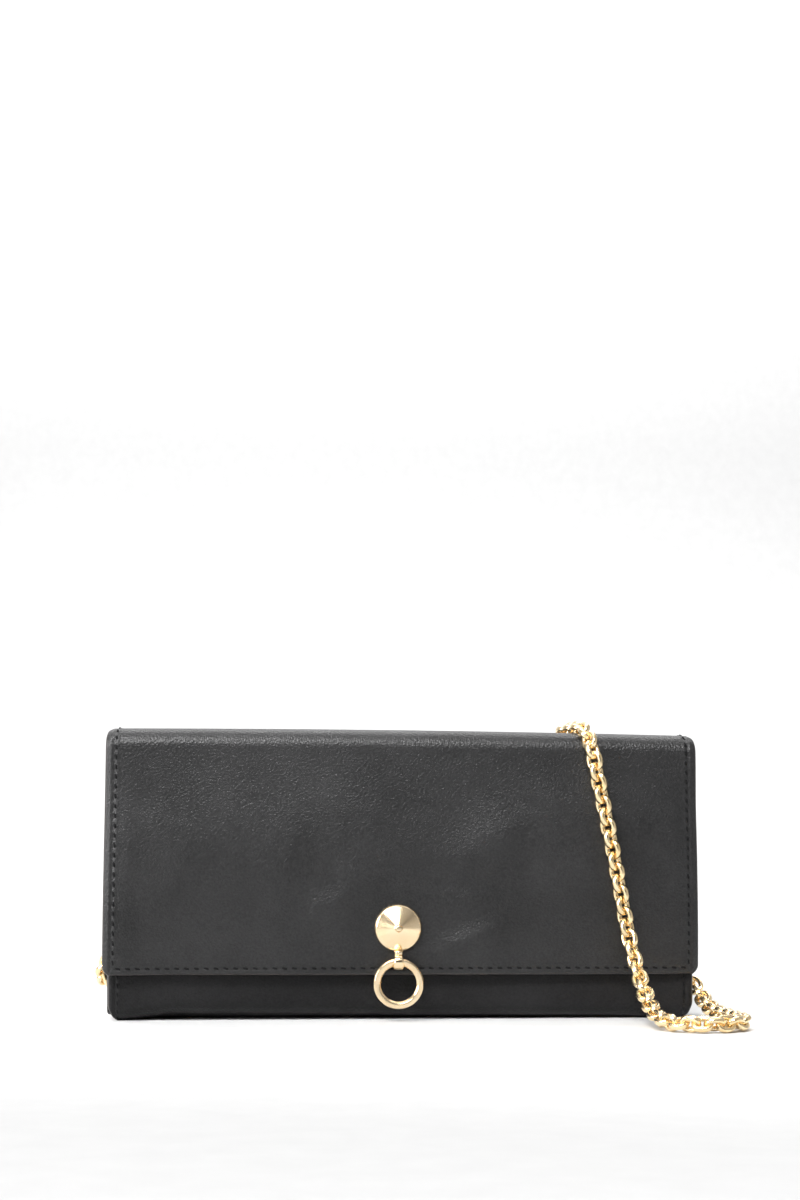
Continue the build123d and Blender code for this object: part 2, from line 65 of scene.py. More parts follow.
BODY_LOW, BODY_HIGH = corners("body_leather")
FLAP_LOW, FLAP_HIGH = corners("flap_leather")
STRIP_HIGH = corners("top_strip_leather")[1]
STUD_LOW, STUD_HIGH = corners("snap_stud")
HANGER_HIGH = corners("ring_hanger")[1]
RING_LOW, RING_HIGH = corners("pull_ring")
POCKET_LOW, POCKET_HIGH = corners("zip_pocket_back_leather", "zip_pocket_front_leather")

# ------------ sizes
TOP_Z = STRIP_HIGH[2]
BACK_Y = BODY_HIGH[1]
FRONT_Y = BODY_LOW[1]
FLAP_Y = FLAP_LOW[1]
FLAP_FOOT_Z = FLAP_LOW[2]
POCKET_MIDDLE_Y = (POCKET_LOW[1] + POCKET_HIGH[1]) / 2
LEATHER = 1.2
LINING = 0.6
LINING_GAP = 0.01
LINING_INSET = 1.0
BASE_RADIUS = 5.0
TOP_RADIUS = 6.0
ARC_Z = TOP_Z - TOP_RADIUS
FRONT_WALL_TOP_Z = 84.0
# The body's sheet ends here on the back wall, and the rear crease's sheet goes on.
SPLIT_Z = 70.0
# Stud, hanger and ring stand a little to the left of the middle.
SNAP_X = -1.2
SNAP_Z = (STUD_LOW[2] + STUD_HIGH[2]) / 2
# Seams, in from the leather's edge.
SIDE_SEAM = 2.9
WALL_SEAM = 2.5
FOOT_SEAM = 2.3
STITCH_PITCH = 3.1
WALL_STITCH_PITCH = 2.8
# A sheet's rim is rounded over this share of its thickness.
RIM = 0.45
CHAIN_DIAMETER = 5.5
LINK_WIDTH = 5.7
LINK_PITCH = 3.6
LINK_WIRE = 1.5
LINK_THICKNESS = 1.85


# ------------ small helpers
def ease(t):
    """Smooth step from 0 to 1."""
    t = np.clip(t, 0.0, 1.0)
    return t * t * (3 - 2 * t)


def bell(distance, width):
    return np.exp(-((distance / width) ** 2))


def new_piece(name, points, faces, smooth=True):
    """Mesh object from points in millimetres."""
    mesh = bpy.data.meshes.new(name)
    mesh.from_pydata((np.asarray(points, float) * MM).tolist(), [], [tuple(f) for f in faces])
    work = bmesh.new()
    work.from_mesh(mesh)
    bmesh.ops.recalc_face_normals(work, faces=work.faces)
    work.to_mesh(mesh)
    work.free()
    mesh.polygons.foreach_set("use_smooth", [smooth] * len(mesh.polygons))
    piece = bpy.data.objects.new(name, mesh)
    bpy.context.scene.collection.objects.link(piece)
    return piece


def tube_faces(rings, sides, first=0, closed=False):
    """Faces of a tube whose points come ring after ring. An open tube gets end caps."""
    faces = []
    for ring in range(rings if closed else rings - 1):
        low, high = first + ring * sides, first + (ring + 1) % rings * sides
        for side in range(sides):
            other = (side + 1) % sides
            faces.append((low + side, low + other, high + other, high + side))
    if not closed:
        last = first + (rings - 1) * sides
        faces += [tuple(range(first, first + sides)), tuple(range(last, last + sides))]
    return faces


def distances(path):
    """Distance along a path to each of its points."""
    return np.concatenate([[0], np.cumsum(np.linalg.norm(np.diff(path, axis=0), axis=1))])


def at_distances(path, reach, places):
    """Coordinates of a path, one row for each axis, at some distances along it."""
    return np.stack([np.interp(places, reach, coordinate) for coordinate in path.T])


def finish_piece(piece, material, slot, *nodes):
    """Gives a piece its material and hides the CAD nodes that it stands for. The slot is not used."""
    piece.data.materials.append(material)
    if nodes:
        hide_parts(*nodes)


def finish_sheet(sheet, material, slot, *nodes):
    """The same for a sheet whose rim has edge paint."""
    finish_piece(sheet, material, slot, *nodes)
    sheet.data.materials.append(EDGE_PAINT)
    total, rim = len(sheet.data.polygons), sheet["rim_faces"]
    sheet.data.polygons.foreach_set("material_index", [0] * (total - rim) + [1] * rim)


# ------------ camera
CAMERA_AZIMUTH = math.radians(-3.6)
CAMERA_AIM = Vector((0.0, -0.005, 0.0553))
CAMERA_DISTANCE = 0.640
SENSOR_WIDTH = 36.0
LENS = 59.85
LENS_SHIFT = (-0.0005, 0.205833)


def make_camera():
    """Level camera in front of the wallet, a little to its left. The shift lowers the wallet in the frame."""
    data = bpy.data.cameras.new("camera")
    data.sensor_width = SENSOR_WIDTH
    data.lens = LENS
    data.shift_x, data.shift_y = LENS_SHIFT
    camera = bpy.data.objects.new("camera", data)
    back = Vector((math.sin(CAMERA_AZIMUTH), -math.cos(CAMERA_AZIMUTH), 0.0))
    camera.location = CAMERA_AIM + back * CAMERA_DISTANCE
    camera.rotation_mode = "QUATERNION"
    camera.rotation_quaternion = (-back).to_track_quat("-Z", "Y")
    bpy.context.scene.collection.objects.link(camera)
    bpy.context.scene.camera = camera


# ------------ materials
class Nodes:
    """Short forms for building the nodes of one procedural material or world."""

    def __init__(self, owner, shader, coordinates):
        owner.use_nodes = True
        self.owner = owner
        self.tree = owner.node_tree
        self.shader = self.tree.nodes[shader]
        self.where = self.add("ShaderNodeTexCoord").outputs[coordinates]

    def add(self, kind, **settings):
        node = self.tree.nodes.new(kind)
        for key, value in settings.items():
            if key in node.inputs:
                node.inputs[key].default_value = value
            else:
                setattr(node, key, value)
        return node

    def link(self, source, target):
        self.tree.links.new(source, target)

    def placed(self, kind, output, vector=None, **settings):
        """Output of a node that reads the place on the piece."""
        node = self.add(kind, **settings)
        self.link(vector or self.where, node.inputs["Vector"])
        return node.outputs[output]

    def stretched(self, scale):
        return self.placed("ShaderNodeMapping", "Vector", Scale=scale)

    def noise(self, scale, detail=4.0, vector=None):
        return self.placed("ShaderNodeTexNoise", "Fac", vector, Scale=scale, Detail=detail)

    def cells(self, scale):
        return self.placed("ShaderNodeTexVoronoi", "Distance", Scale=scale)

    def waves(self, scale, direction):
        return self.placed("ShaderNodeTexWave", "Fac", Scale=scale, bands_direction=direction)

    def ramp(self, factor, stops):
        node = self.add("ShaderNodeValToRGB")
        elements = node.color_ramp.elements
        while len(elements) < len(stops):
            elements.new(0.5)
        for element, (place, colour) in zip(elements, stops):
            element.position = place
            element.color = (*colour, 1.0)
        self.link(factor, node.inputs["Fac"])
        return node.outputs["Color"]

    def span(self, factor, low, high, start=0.0, end=1.0):
        """Takes the range from start to end to the range from low to high."""
        node = self.add("ShaderNodeMapRange")
        for key, value in (("From Min", start), ("From Max", end), ("To Min", low), ("To Max", high)):
            node.inputs[key].default_value = value
        self.link(factor, node.inputs["Value"])
        return node.outputs["Result"]

    def mixed(self, a, b, share):
        node = self.add("ShaderNodeMix", data_type="FLOAT")
        node.inputs[0].default_value = share
        self.link(a, node.inputs[2])
        self.link(b, node.inputs[3])
        return node.outputs[0]

    def calculated(self, operation, *values):
        node = self.add("ShaderNodeMath", operation=operation)
        for value, target in zip(values, node.inputs):
            self.link(value, target)
        return node.outputs["Value"]

    def colour(self, factor, *stops):
        self.link(self.ramp(factor, stops), self.shader.inputs["Base Color"])

    def roughness(self, factor, low, high):
        self.link(self.span(factor, low, high), self.shader.inputs["Roughness"])

    def bump(self, height, strength, distance):
        node = self.add("ShaderNodeBump", Strength=strength, Distance=distance)
        self.link(height, node.inputs["Height"])
        self.link(node.outputs["Normal"], self.shader.inputs["Normal"])

    def set(self, **inputs):
        for key, value in inputs.items():
            self.shader.inputs[key.replace("_", " ")].default_value = value
        return self.owner


def material_nodes(name):
    return Nodes(bpy.data.materials.new(name), "Principled BSDF", "Object")


def leather_material(name, dark, light, rough_low, rough_high, grain, shine=0.4):
    """Fine calf: soft patches of tone and gloss over small grain cells."""
    n = material_nodes(name)
    tone = n.mixed(n.noise(38.0, 5.0), n.noise(1300.0, 3.0), 0.5)
    n.colour(tone, (0.36, dark), (0.66, light))
    n.roughness(n.noise(260.0, 6.0), rough_low, rough_high)
    n.bump(n.mixed(n.cells(1500.0), n.noise(2600.0, 3.0), 0.5), grain, 0.0002)
    return n.set(Specular_IOR_Level=shine)


def edge_material():
    """Edge paint: brownish black, smoother than the leather, with slight brush ripples."""
    n = material_nodes("edge_paint")
    ripple = n.noise(420.0, 3.0)
    n.colour(ripple, (0.3, (0.024, 0.020, 0.019)), (0.7, (0.040, 0.034, 0.031)))
    n.roughness(ripple, 0.28, 0.42)
    n.bump(ripple, 0.25, 0.0001)
    return n.set(Specular_IOR_Level=0.5)


def fabric_material(name, dark, light, threads):
    """Plain weave: two crossed sets of threads with uneven tone."""
    n = material_nodes(name)
    weave = n.mixed(n.waves(threads, "X"), n.waves(threads, "Z"), 0.5)
    n.colour(n.mixed(weave, n.noise(600.0), 0.4), (0.25, dark), (0.8, light))
    n.roughness(n.noise(300.0), 0.7, 0.9)
    n.bump(weave, 0.5, 0.0001)
    return n.set(Sheen_Weight=0.25, Sheen_Roughness=0.4)


def metal_material(name, dark, light, rough_low, rough_high):
    """Plated metal: faint drift of tone, hairline scratches and slightly uneven gloss."""
    n = material_nodes(name)
    n.colour(n.noise(150.0, 3.0), (0.3, dark), (0.7, light))
    n.roughness(n.noise(700.0, 5.0), rough_low, rough_high)
    n.bump(n.noise(420.0, 8.0, n.stretched((1.0, 9.0, 1.0))), 0.05, 0.0001)
    return n.set(Metallic=1.0)


def thread_material():
    """Waxed black thread with its twist."""
    n = material_nodes("thread")
    twist = n.waves(1900.0, "DIAGONAL")
    n.colour(twist, (0.2, (0.002, 0.002, 0.002)), (0.9, (0.007, 0.007, 0.008)))
    n.roughness(n.noise(900.0), 0.6, 0.8)
    n.bump(twist, 0.5, 0.0001)
    return n.set(Specular_IOR_Level=0.2)


def floor_material():
    """Pale matt studio paper with a very faint tooth."""
    n = material_nodes("studio_paper")
    tooth = n.noise(90.0, 6.0)
    n.colour(tooth, (0.2, (0.63, 0.63, 0.63)), (0.8, (0.67, 0.67, 0.67)))
    n.roughness(tooth, 0.75, 0.9)
    return n.set(Specular_IOR_Level=0.2)


# Leather, fabric and metal take their darkest and lightest tone. Leather and metal also take their lowest and
# highest roughness.
BLACK_LEATHER = leather_material("black_calf", (0.0040, 0.0039, 0.0041), (0.0190, 0.0186, 0.0192),
                                 0.30, 0.46, grain=1.0)
# Darker, less shiny copy of the black leather: painted shade for the front of the body, which lies in the
# flap's shadow.
PAINTED_SHADE_LEATHER = leather_material("painted_shade_calf", (0.0035, 0.0034, 0.0036), (0.0130, 0.0127, 0.0132),
                                0.34, 0.50, grain=1.0, shine=0.2)
LINING_LEATHER = leather_material("lining_calf", (0.016, 0.015, 0.015), (0.026, 0.025, 0.025),
                                  0.5, 0.65, grain=0.2)
CARD_LEATHER = leather_material("card_calf", (0.014, 0.013, 0.014), (0.024, 0.023, 0.023),
                                0.4, 0.55, grain=0.25)
EDGE_PAINT = edge_material()
THREAD = thread_material()
POCKET_FABRIC = fabric_material("pocket_twill", (0.018, 0.017, 0.017), (0.050, 0.047, 0.045), threads=1500.0)
ZIP_TAPE = fabric_material("zip_tape", (0.010, 0.010, 0.011), (0.032, 0.032, 0.034), threads=2400.0)
PALE_GOLD = metal_material("pale_gold", (0.90, 0.69, 0.42), (0.96, 0.78, 0.53), 0.13, 0.21)
CHAIN_GOLD = metal_material("chain_gold", (0.92, 0.70, 0.38), (0.98, 0.80, 0.52), 0.20, 0.30)
ZIP_GOLD = metal_material("zip_gold", (0.75, 0.56, 0.32), (0.86, 0.68, 0.42), 0.20, 0.34)
SNAP_GOLD = metal_material("snap_gold", (0.78, 0.60, 0.36), (0.88, 0.70, 0.45), 0.18, 0.30)

# ------------ chain
# The route's points, in metres. The left one goes from the left ring to the coil behind the wallet. The right
# one goes up the back, over the top, down the front, round on the floor and up into the right recess.
LEFT_ROUTE = [
    (-0.0833, 0.00425, 0.0590), (-0.0836, 0.0041, 0.0465), (-0.0858, 0.0042, 0.0340),
    (-0.0902, 0.0050, 0.0245), (-0.0954, 0.0086, 0.0170), (-0.0970, 0.0168, 0.0126),
    (-0.0940, 0.0236, 0.0098), (-0.0870, 0.0286, 0.0060), (-0.0775, 0.0322, 0.0031),
    (-0.0640, 0.0338, 0.0024), (-0.0480, 0.0305, 0.0024), (-0.0340, 0.0270, 0.0024),
    (-0.0205, 0.0254, 0.0024), (-0.0080, 0.0255, 0.0024),
]
RIGHT_ROUTE = [
    (-0.0080, 0.0283, 0.0074), (0.0080, 0.0288, 0.0074), (0.0235, 0.0272, 0.0068),
    (0.0375, 0.0240, 0.0074), (0.0470, 0.0214, 0.0160), (0.0508, 0.0200, 0.0300),
    (0.0510, 0.0196, 0.0480), (0.0518, 0.0199, 0.0660), (0.0528, 0.0201, 0.0785),
    (0.0536, 0.0200, 0.0870), (0.0546, 0.0136, 0.0934), (0.0562, 0.0044, 0.0936),
    (0.0588, -0.0092, 0.0932), (0.0604, -0.0156, 0.0866), (0.0618, -0.0156, 0.0785),
    (0.0634, -0.0152, 0.0715), (0.0668, -0.0150, 0.0555), (0.0697, -0.0147, 0.0400),
    (0.0720, -0.0151, 0.0270), (0.0742, -0.0200, 0.0158), (0.0750, -0.0294, 0.0084),
    (0.0756, -0.0396, 0.0043), (0.0766, -0.0492, 0.0028), (0.0798, -0.0552, 0.0027),
    (0.0856, -0.0586, 0.0027), (0.0924, -0.0586, 0.0027), (0.0982, -0.0552, 0.0027),
    (0.1014, -0.0492, 0.0027), (0.1012, -0.0385, 0.0027), (0.1000, -0.0270, 0.0027),
    (0.0986, -0.0160, 0.0034), (0.0976, -0.0062, 0.0064), (0.0950, 0.0004, 0.0122),
    (0.0904, 0.0037, 0.0204), (0.0870, 0.0041, 0.0310), (0.0846, 0.00425, 0.0440),
    (0.0833, 0.00425, 0.0590),
]
COIL_TURNS = 3
COIL_PITCH = 0.0056
POINTS_PER_TURN = 14


def coil_points():
    """Control points between the two routes: turns inwards on the floor, then one outwards on top of them."""
    low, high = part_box("chain_coil")
    centre_x, centre_y = (low[0] + high[0]) / 2, (low[1] + high[1]) / 2
    floor_turns = COIL_TURNS - 1
    outer = centre_y - LEFT_ROUTE[-1][1]
    upper = centre_y - RIGHT_ROUTE[0][1]
    inner = outer - floor_turns * COIL_PITCH
    floor_z, upper_z = LEFT_ROUTE[-1][2], RIGHT_ROUTE[0][2]
    points = []
    for step in range(1, COIL_TURNS * POINTS_PER_TURN):
        turn = step / POINTS_PER_TURN
        angle = math.tau * turn - math.pi / 2
        if turn <= floor_turns:
            radius = outer + (inner - outer) * turn / floor_turns
        else:
            radius = inner + (upper - inner) * (turn - floor_turns)
        rise = float(ease((turn - 1.85) / 0.35))
        z = floor_z + (upper_z - floor_z) * rise
        points.append((centre_x + radius * math.cos(angle), centre_y + radius * math.sin(angle), z))
    return points


def smooth_path(points):
    """Points along the NURBS spline that has these control points."""
    curve = bpy.data.curves.new("chain_line", "CURVE")
    curve.dimensions = "3D"
    curve.resolution_u = 16
    spline = curve.splines.new("NURBS")
    spline.points.add(len(points) - 1)
    for point, place in zip(spline.points, points):
        point.co = (*place, 1.0)
    spline.order_u = 3
    spline.use_endpoint_u = True
    holder = bpy.data.objects.new("chain_line", curve)
    bpy.context.scene.collection.objects.link(holder)
    bpy.context.view_layer.update()
    mesh = bpy.data.meshes.new_from_object(holder)
    path = np.array([v.co[:] for v in mesh.vertices])
    bpy.data.objects.remove(holder)
    bpy.data.meshes.remove(mesh)
    bpy.data.curves.remove(curve)
    return path


def spaced_along(path, spacing):
    """Evenly spaced points and their unit directions along a path."""
    reach = distances(path)
    count = int(round(reach[-1] / spacing))
    places = (np.arange(count) + 0.5) * reach[-1] / count
    look = 0.0006
    forward = (at_distances(path, reach, places + look) - at_distances(path, reach, places - look)).T
    return at_distances(path, reach, places).T, forward / np.linalg.norm(forward, axis=1)[:, None]


def carried_normals(forward, start, normal):
    """Turns a normal along the path without twist, from one place towards both ends."""
    normals = np.zeros_like(forward)
    normals[start] = normal - forward[start] * np.dot(normal, forward[start])
    for order in (range(start + 1, len(forward)), range(start - 1, -1, -1)):
        last = normals[start]
        for i in order:
            last = last - forward[i] * np.dot(last, forward[i])
            last = last / np.linalg.norm(last)
            normals[i] = last
    return normals / np.linalg.norm(normals, axis=1)[:, None]


LINK_SEGMENTS = 22
LINK_SIDES = 12
LINK_TURN = math.radians(45)
LINK_PLAY = math.radians(3.0)
CHAIN_SEED = 7
# In metres: half way up the front run, and where the foot of that run begins.
FRONT_RUN_Y = -0.012
FRONT_RUN_MIDDLE_Z = 0.05
FRONT_RUN_FOOT_Z = 0.021


def squarish(value, squareness):
    """Sine or cosine bent so that it draws a rounded square in place of a circle."""
    return math.copysign(abs(value) ** (2 / squareness), value)


def link_shape():
    """Points of one closed oval link of flattened wire, in metres: along, across, through its thickness."""
    half_length = (LINK_PITCH + LINK_WIRE) / 2 * MM
    half_width = (LINK_WIDTH - LINK_WIRE) / 2 * MM
    rows = []
    for step in range(LINK_SEGMENTS):
        a = math.tau * step / LINK_SEGMENTS
        c, s = math.cos(a), math.sin(a)
        u, v = half_length * squarish(c, 2.5), half_width * squarish(s, 2.5)
        outward = np.array([c / half_length, s / half_width])
        outward /= np.linalg.norm(outward)
        for side in range(LINK_SIDES):
            b = math.tau * (side + 0.5) / LINK_SIDES
            out = LINK_WIRE / 2 * MM * squarish(math.cos(b), 3.0)
            up = LINK_THICKNESS / 2 * MM * squarish(math.sin(b), 3.0)
            rows.append((u + outward[0] * out, v + outward[1] * out, up))
    return np.array(rows)


def make_chain(path):
    """All the links in one mesh. They lie at plus and minus 45 degrees, and the foot of the front run is
    twisted so that they face the front one by one."""
    points, forward = spaced_along(path, LINK_PITCH * MM)
    on_front = (points[:, 1] < FRONT_RUN_Y) & (np.abs(points[:, 2] - FRONT_RUN_MIDDLE_Z) < 0.004)
    start = int(np.flatnonzero(on_front)[0])
    normals = carried_normals(forward, start, np.array([0.0, -1.0, 0.0]))
    across = np.cross(forward, normals)
    beyond = np.arange(len(points)) - start
    foot_start = float(np.flatnonzero((beyond > 0) & (points[:, 2] < FRONT_RUN_FOOT_Z))[0] - start)
    twist = LINK_TURN * (ease((beyond - foot_start) / 6) - ease((beyond - foot_start - 9) / 8))
    shape = link_shape()
    count = len(shape)
    verts = np.zeros((len(points) * count, 3))
    faces = []
    play = np.random.default_rng(CHAIN_SEED).normal(0, LINK_PLAY, len(points))
    for i, (point, t, n, b) in enumerate(zip(points, forward, normals, across)):
        angle = (LINK_TURN if i % 2 else -LINK_TURN) + twist[i] + play[i]
        side = math.cos(angle) * b + math.sin(angle) * n
        up = np.cross(t, side)
        verts[i * count:(i + 1) * count] = point + shape @ np.stack([t, side, up])
        faces += tube_faces(LINK_SEGMENTS, LINK_SIDES, i * count, closed=True)
    return new_piece("chain", verts / MM, faces)


def make_coil_tie():
    """Waxed cord wound round the strands on the far side of the coil."""
    far_side = POINTS_PER_TURN // 2 - 1
    strands = np.array([coil_points()[turn * POINTS_PER_TURN + far_side] for turn in range(COIL_TURNS)]) / MM
    turns, pitch, radius, sides = 3.3, 1.1, 0.5, 10
    phi = np.linspace(0, math.tau * turns, 180)
    outwards = np.stack([0 * phi, np.cos(phi), np.sin(phi)], -1)
    farthest = np.argmax(strands @ outwards.T, axis=0)
    path = strands[farthest] + outwards * (CHAIN_DIAMETER / 2 + radius)
    path[:, 0] = strands[0, 0] + pitch * (phi / math.tau - turns / 2)
    path[:, 2] = np.maximum(path[:, 2], radius)
    a = np.linspace(0, math.tau, sides, endpoint=False)[None, :, None]
    rings = path[:, None] + radius * (np.cos(a) * outwards[:, None] + np.sin(a) * np.array([1.0, 0.0, 0.0]))
    tie = new_piece("coil_tie", rings.reshape(-1, 3), tube_faces(len(path), sides))
    finish_piece(tie, THREAD, "black_leather")
    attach(tie, "root")
    return tie


make_camera()
chain_path = smooth_path(LEFT_ROUTE + coil_points() + RIGHT_ROUTE)
chain = make_chain(chain_path)
finish_piece(chain, CHAIN_GOLD, "chain_metal", "chain_left_run", "chain_coil", "chain_right_run")
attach(chain, "root")
make_coil_tie()

# ------------ how the leather lies
FLAP_HALF = FLAP_HIGH[0]
SHOULDER_HALF = 93.5
BODY_HALF = BODY_HIGH[0]
STRIP_HALF = STRIP_HIGH[0] + 2.2
FLAP_CORNER = 3.2
SHOULDER_HEIGHT = 3.9
BODY_CORNER = 6.0
BODY_CORNER_INSET = 2.1
# The right half is this much wider.
RIGHT_EXTRA = 0.013
FRONT_ARC_Y = FLAP_Y + TOP_RADIUS
REAR_ARC_Y = BACK_Y - TOP_RADIUS
ARC_LENGTH = TOP_RADIUS * math.pi / 2
STRIP_HALF_LENGTH = (REAR_ARC_Y - FRONT_ARC_Y) / 2
FLAP_LENGTH = STRIP_HALF_LENGTH + ARC_LENGTH + ARC_Z - FLAP_FOOT_Z
REAR_LENGTH = ARC_Z - SPLIT_Z + ARC_LENGTH + STRIP_HALF_LENGTH
BASE_ARC_LENGTH = BASE_RADIUS * math.pi / 2
BASE_FLAT = BACK_Y - FRONT_Y - 2 * BASE_RADIUS
FRONT_WALL_LENGTH = FRONT_WALL_TOP_Z - BASE_RADIUS
BODY_LENGTH = FRONT_WALL_LENGTH + 2 * BASE_ARC_LENGTH + BASE_FLAT + SPLIT_Z - BASE_RADIUS
# Pull folds on the flap: start and end as (x, z), width, height. A negative height is a hollow.
FOLDS = [
    ((3, 19), (38, 32), 4.4, 1.15),
    ((-34, 32), (-5, 43), 5.2, 0.85),
    ((-5, 22), (-46, 17), 4.4, 0.70),
    ((12, 44), (42, 68), 8.0, 0.55),
    ((-2, 43), (38, 46), 5.0, -0.55),
]
# Sheets have closer columns in their margins: the step there, for leather and for lining.
LEATHER_MARGIN_STEP = 0.36
LINING_MARGIN_STEP = 0.7


def shoulder(z):
    """How much the rounded top corners take off each side."""
    t = np.clip((z - (TOP_Z - SHOULDER_HEIGHT)) / SHOULDER_HEIGHT, 0, 1)
    return 1 - np.sqrt(1 - t * t)


def corner_cut(height, radius):
    """How much a rounded corner takes off a side at some height above its end."""
    return radius * (1 - np.sqrt(1 - (1 - np.clip(height / radius, 0, 1)) ** 2))


def flap_edge(z):
    """Half width of the flap before its corners are rounded."""
    return FLAP_HALF + (SHOULDER_HALF - FLAP_HALF) * (z - FLAP_FOOT_Z) / (ARC_Z - FLAP_FOOT_Z)


def flap_half(z):
    corner = corner_cut(z - FLAP_FOOT_Z, FLAP_CORNER)
    return flap_edge(z) - corner - (flap_edge(TOP_Z) - STRIP_HALF) * shoulder(z)


def body_half(z):
    foot = BODY_CORNER_INSET * np.clip((BODY_CORNER - z) / BODY_CORNER, 0, 1) ** 2
    return BODY_HALF - foot - (BODY_HALF - STRIP_HALF) * shoulder(z)


def settle(x, y, z):
    """The top edge sinks, more towards the right, and the front of the base is arched between its corners."""
    share = x / BODY_HALF
    sag = (-1.25 - 0.9 * share - 0.65 * share ** 2) * np.clip(z / TOP_Z, 0, 1) ** 1.2
    arch = (1.50 - 0.012 * x) * ease((x + 91) / 20) * ease((94 - x) / 30)
    front = 1 - ease((y - FRONT_Y) / 16)
    low_down = np.clip(1 - z / 18.0, 0, 1) ** 1.5
    return sag + arch * front * low_down


def groove(distance, along):
    """Line of stitch holes drawn into the leather, with a pucker at each hole."""
    pucker = 0.62 + 0.38 * np.cos(math.tau * along / STITCH_PITCH)
    return -0.30 * bell(distance, 0.50) * pucker + 0.09 * bell(np.abs(distance) - 1.0, 0.45)


def ridge(x, z, start, end, width, height):
    """Soft fold along a straight line that fades out at both ends."""
    (x0, z0), (x1, z1) = start, end
    dx, dz = x1 - x0, z1 - z0
    length = math.hypot(dx, dz)
    along = ((x - x0) * dx + (z - z0) * dz) / length ** 2
    off = ((x - x0) * dz - (z - z0) * dx) / length
    return height * bell(off, width) * ease(along / 0.35 + 0.15) * ease((1 - along) / 0.5 + 0.15)


def flap_push(x, s, z):
    """How far the flap stands out of its plane: a low crown, pull folds at the snap, turned-in side edges."""
    down = (ARC_Z - z) / (ARC_Z - FLAP_FOOT_Z)
    upper = 1.15 * ease(down / 0.45)
    lower = 2.1 * np.clip((down - 0.5) / 0.5, 0, 1) ** 2.2
    sides = 0.75 * ease((np.abs(x) - 58) / 36)
    folds = sum(ridge(x, z, *fold) for fold in FOLDS)
    waves = 0.16 * np.sin(x / 17.0 + 0.8) * np.sin(z / 13.0) + 0.12 * np.sin(x / 9.0 - z / 21.0)
    waves = waves + 0.05 * np.sin(x / 4.3 + z / 6.1) * np.sin(z / 5.2 - x / 15.0)
    # The leather is held flat under the snap and free further out.
    loose = ease((np.hypot(x - SNAP_X, z - SNAP_Z) - 7.0) / 16)
    hang = ease(down / 0.3)
    crown = loose * (upper - lower - sides * hang + (folds + waves) * hang)
    edge = np.abs(x) - (flap_half(np.maximum(z, FLAP_FOOT_Z + FLAP_CORNER)) - SIDE_SEAM)
    pillow = 0.32 * bell(edge + 4.2, 3.4) * hang
    roll = -0.9 * np.clip(edge / SIDE_SEAM, 0, 1) ** 1.7 - 1.2 * ease((x - 80) / 15) * hang
    foot = np.clip((FLAP_FOOT_Z + FOOT_SEAM - z) / FOOT_SEAM, 0, 1)
    # The side seams end at the foot seam, and the foot seam ends at the side seams.
    above = ease((z - FLAP_FOOT_Z - FOOT_SEAM + 0.8) / 1.0)
    inside = ease((0.8 - edge) / 1.0)
    seams = groove(edge, s) * above + groove(z - FLAP_FOOT_Z - FOOT_SEAM, x) * inside * (z < 30)
    return crown + pillow + roll - 0.12 * foot ** 2 + seams


def wall_push(x, s, z):
    """Front wall, base and back wall: slightly crowned, with a seam along both sides."""
    crown = 0.45 * np.sin(math.pi * np.clip(z / ARC_Z, 0, 1)) * (1 - (x / BODY_HALF) ** 4)
    edge = np.abs(x) - (body_half(np.clip(z, BODY_CORNER, None)) - WALL_SEAM)
    roll = -0.3 * np.clip(edge / SIDE_SEAM, 0, 1) ** 2
    return crown + roll + groove(edge, s)


def flap_line(s, depth):
    """Section from the middle of the top strip over the front crease and down the flap."""
    turn = np.clip((s - STRIP_HALF_LENGTH) / TOP_RADIUS, 0, math.pi / 2)
    radius = TOP_RADIUS - depth
    before = np.clip(STRIP_HALF_LENGTH - s, 0, None)
    after = np.clip(s - STRIP_HALF_LENGTH - ARC_LENGTH, 0, None)
    y = FRONT_ARC_Y + before - radius * np.sin(turn)
    z = ARC_Z + radius * np.cos(turn) - after
    return y, z, -np.sin(turn), np.cos(turn)


def rear_line(s, depth):
    """Section up the back wall, over the rear crease to the middle of the top strip."""
    rise = ARC_Z - SPLIT_Z
    turn = np.clip((s - rise) / TOP_RADIUS, 0, math.pi / 2)
    radius = TOP_RADIUS - depth
    below = np.clip(rise - s, 0, None)
    after = np.clip(s - rise - ARC_LENGTH, 0, None)
    y = REAR_ARC_Y + radius * np.cos(turn) - after
    z = ARC_Z + radius * np.sin(turn) - below
    return y, z, np.cos(turn), np.sin(turn)


def trough_line(front_y, foot_z, radius, wall, flat):
    """Function for the section down a front wall, round a flat base and up a back wall."""
    arc = radius * math.pi / 2
    second_start = wall + arc + flat

    def line(s, depth):
        first = np.clip((s - wall) / radius, 0, math.pi / 2)
        second = np.clip((s - second_start) / radius, 0, math.pi / 2)
        turn = first + second
        across = np.clip(s - wall - arc, 0, flat)
        above = np.clip(wall - s, 0, None) + np.clip(s - second_start - arc, 0, None)
        y = front_y + radius + across - (radius - depth) * np.cos(turn)
        z = foot_z + radius - (radius - depth) * np.sin(turn) + above
        return y, z, -np.cos(turn), -np.sin(turn)

    return line


def surface_of(line, half_width, push, inset):
    """Function for a sheet's point at a share of the half width, a length along the section and a depth."""

    def surface(share, s, depth):
        y, z, ny, nz = line(s, depth)
        outer_z = line(s, 0.0)[1]
        x = share * (half_width(outer_z) - inset)
        out = push(x, s, outer_z)
        wider = 1 + RIGHT_EXTRA * (x > 0)
        return np.stack([x * wider, y + ny * out, z + nz * out + settle(x, y, outer_z)], axis=-1)

    return surface


def rows_between(*stops):
    """Row places: (start, end, step) stretches one after another."""
    rows = [np.linspace(a, b, max(2, int(round((b - a) / step)) + 1))[:-1] for a, b, step in stops]
    return np.concatenate(rows + [np.array([stops[-1][1]])])


def shares_across(half, margin_step, middle_step, margin=4.6):
    """Columns from side to side, closer together in the margins."""
    right = rows_between((0, half - margin, middle_step), (half - margin, half, margin_step)) / half
    return np.concatenate([-right[:0:-1], right])


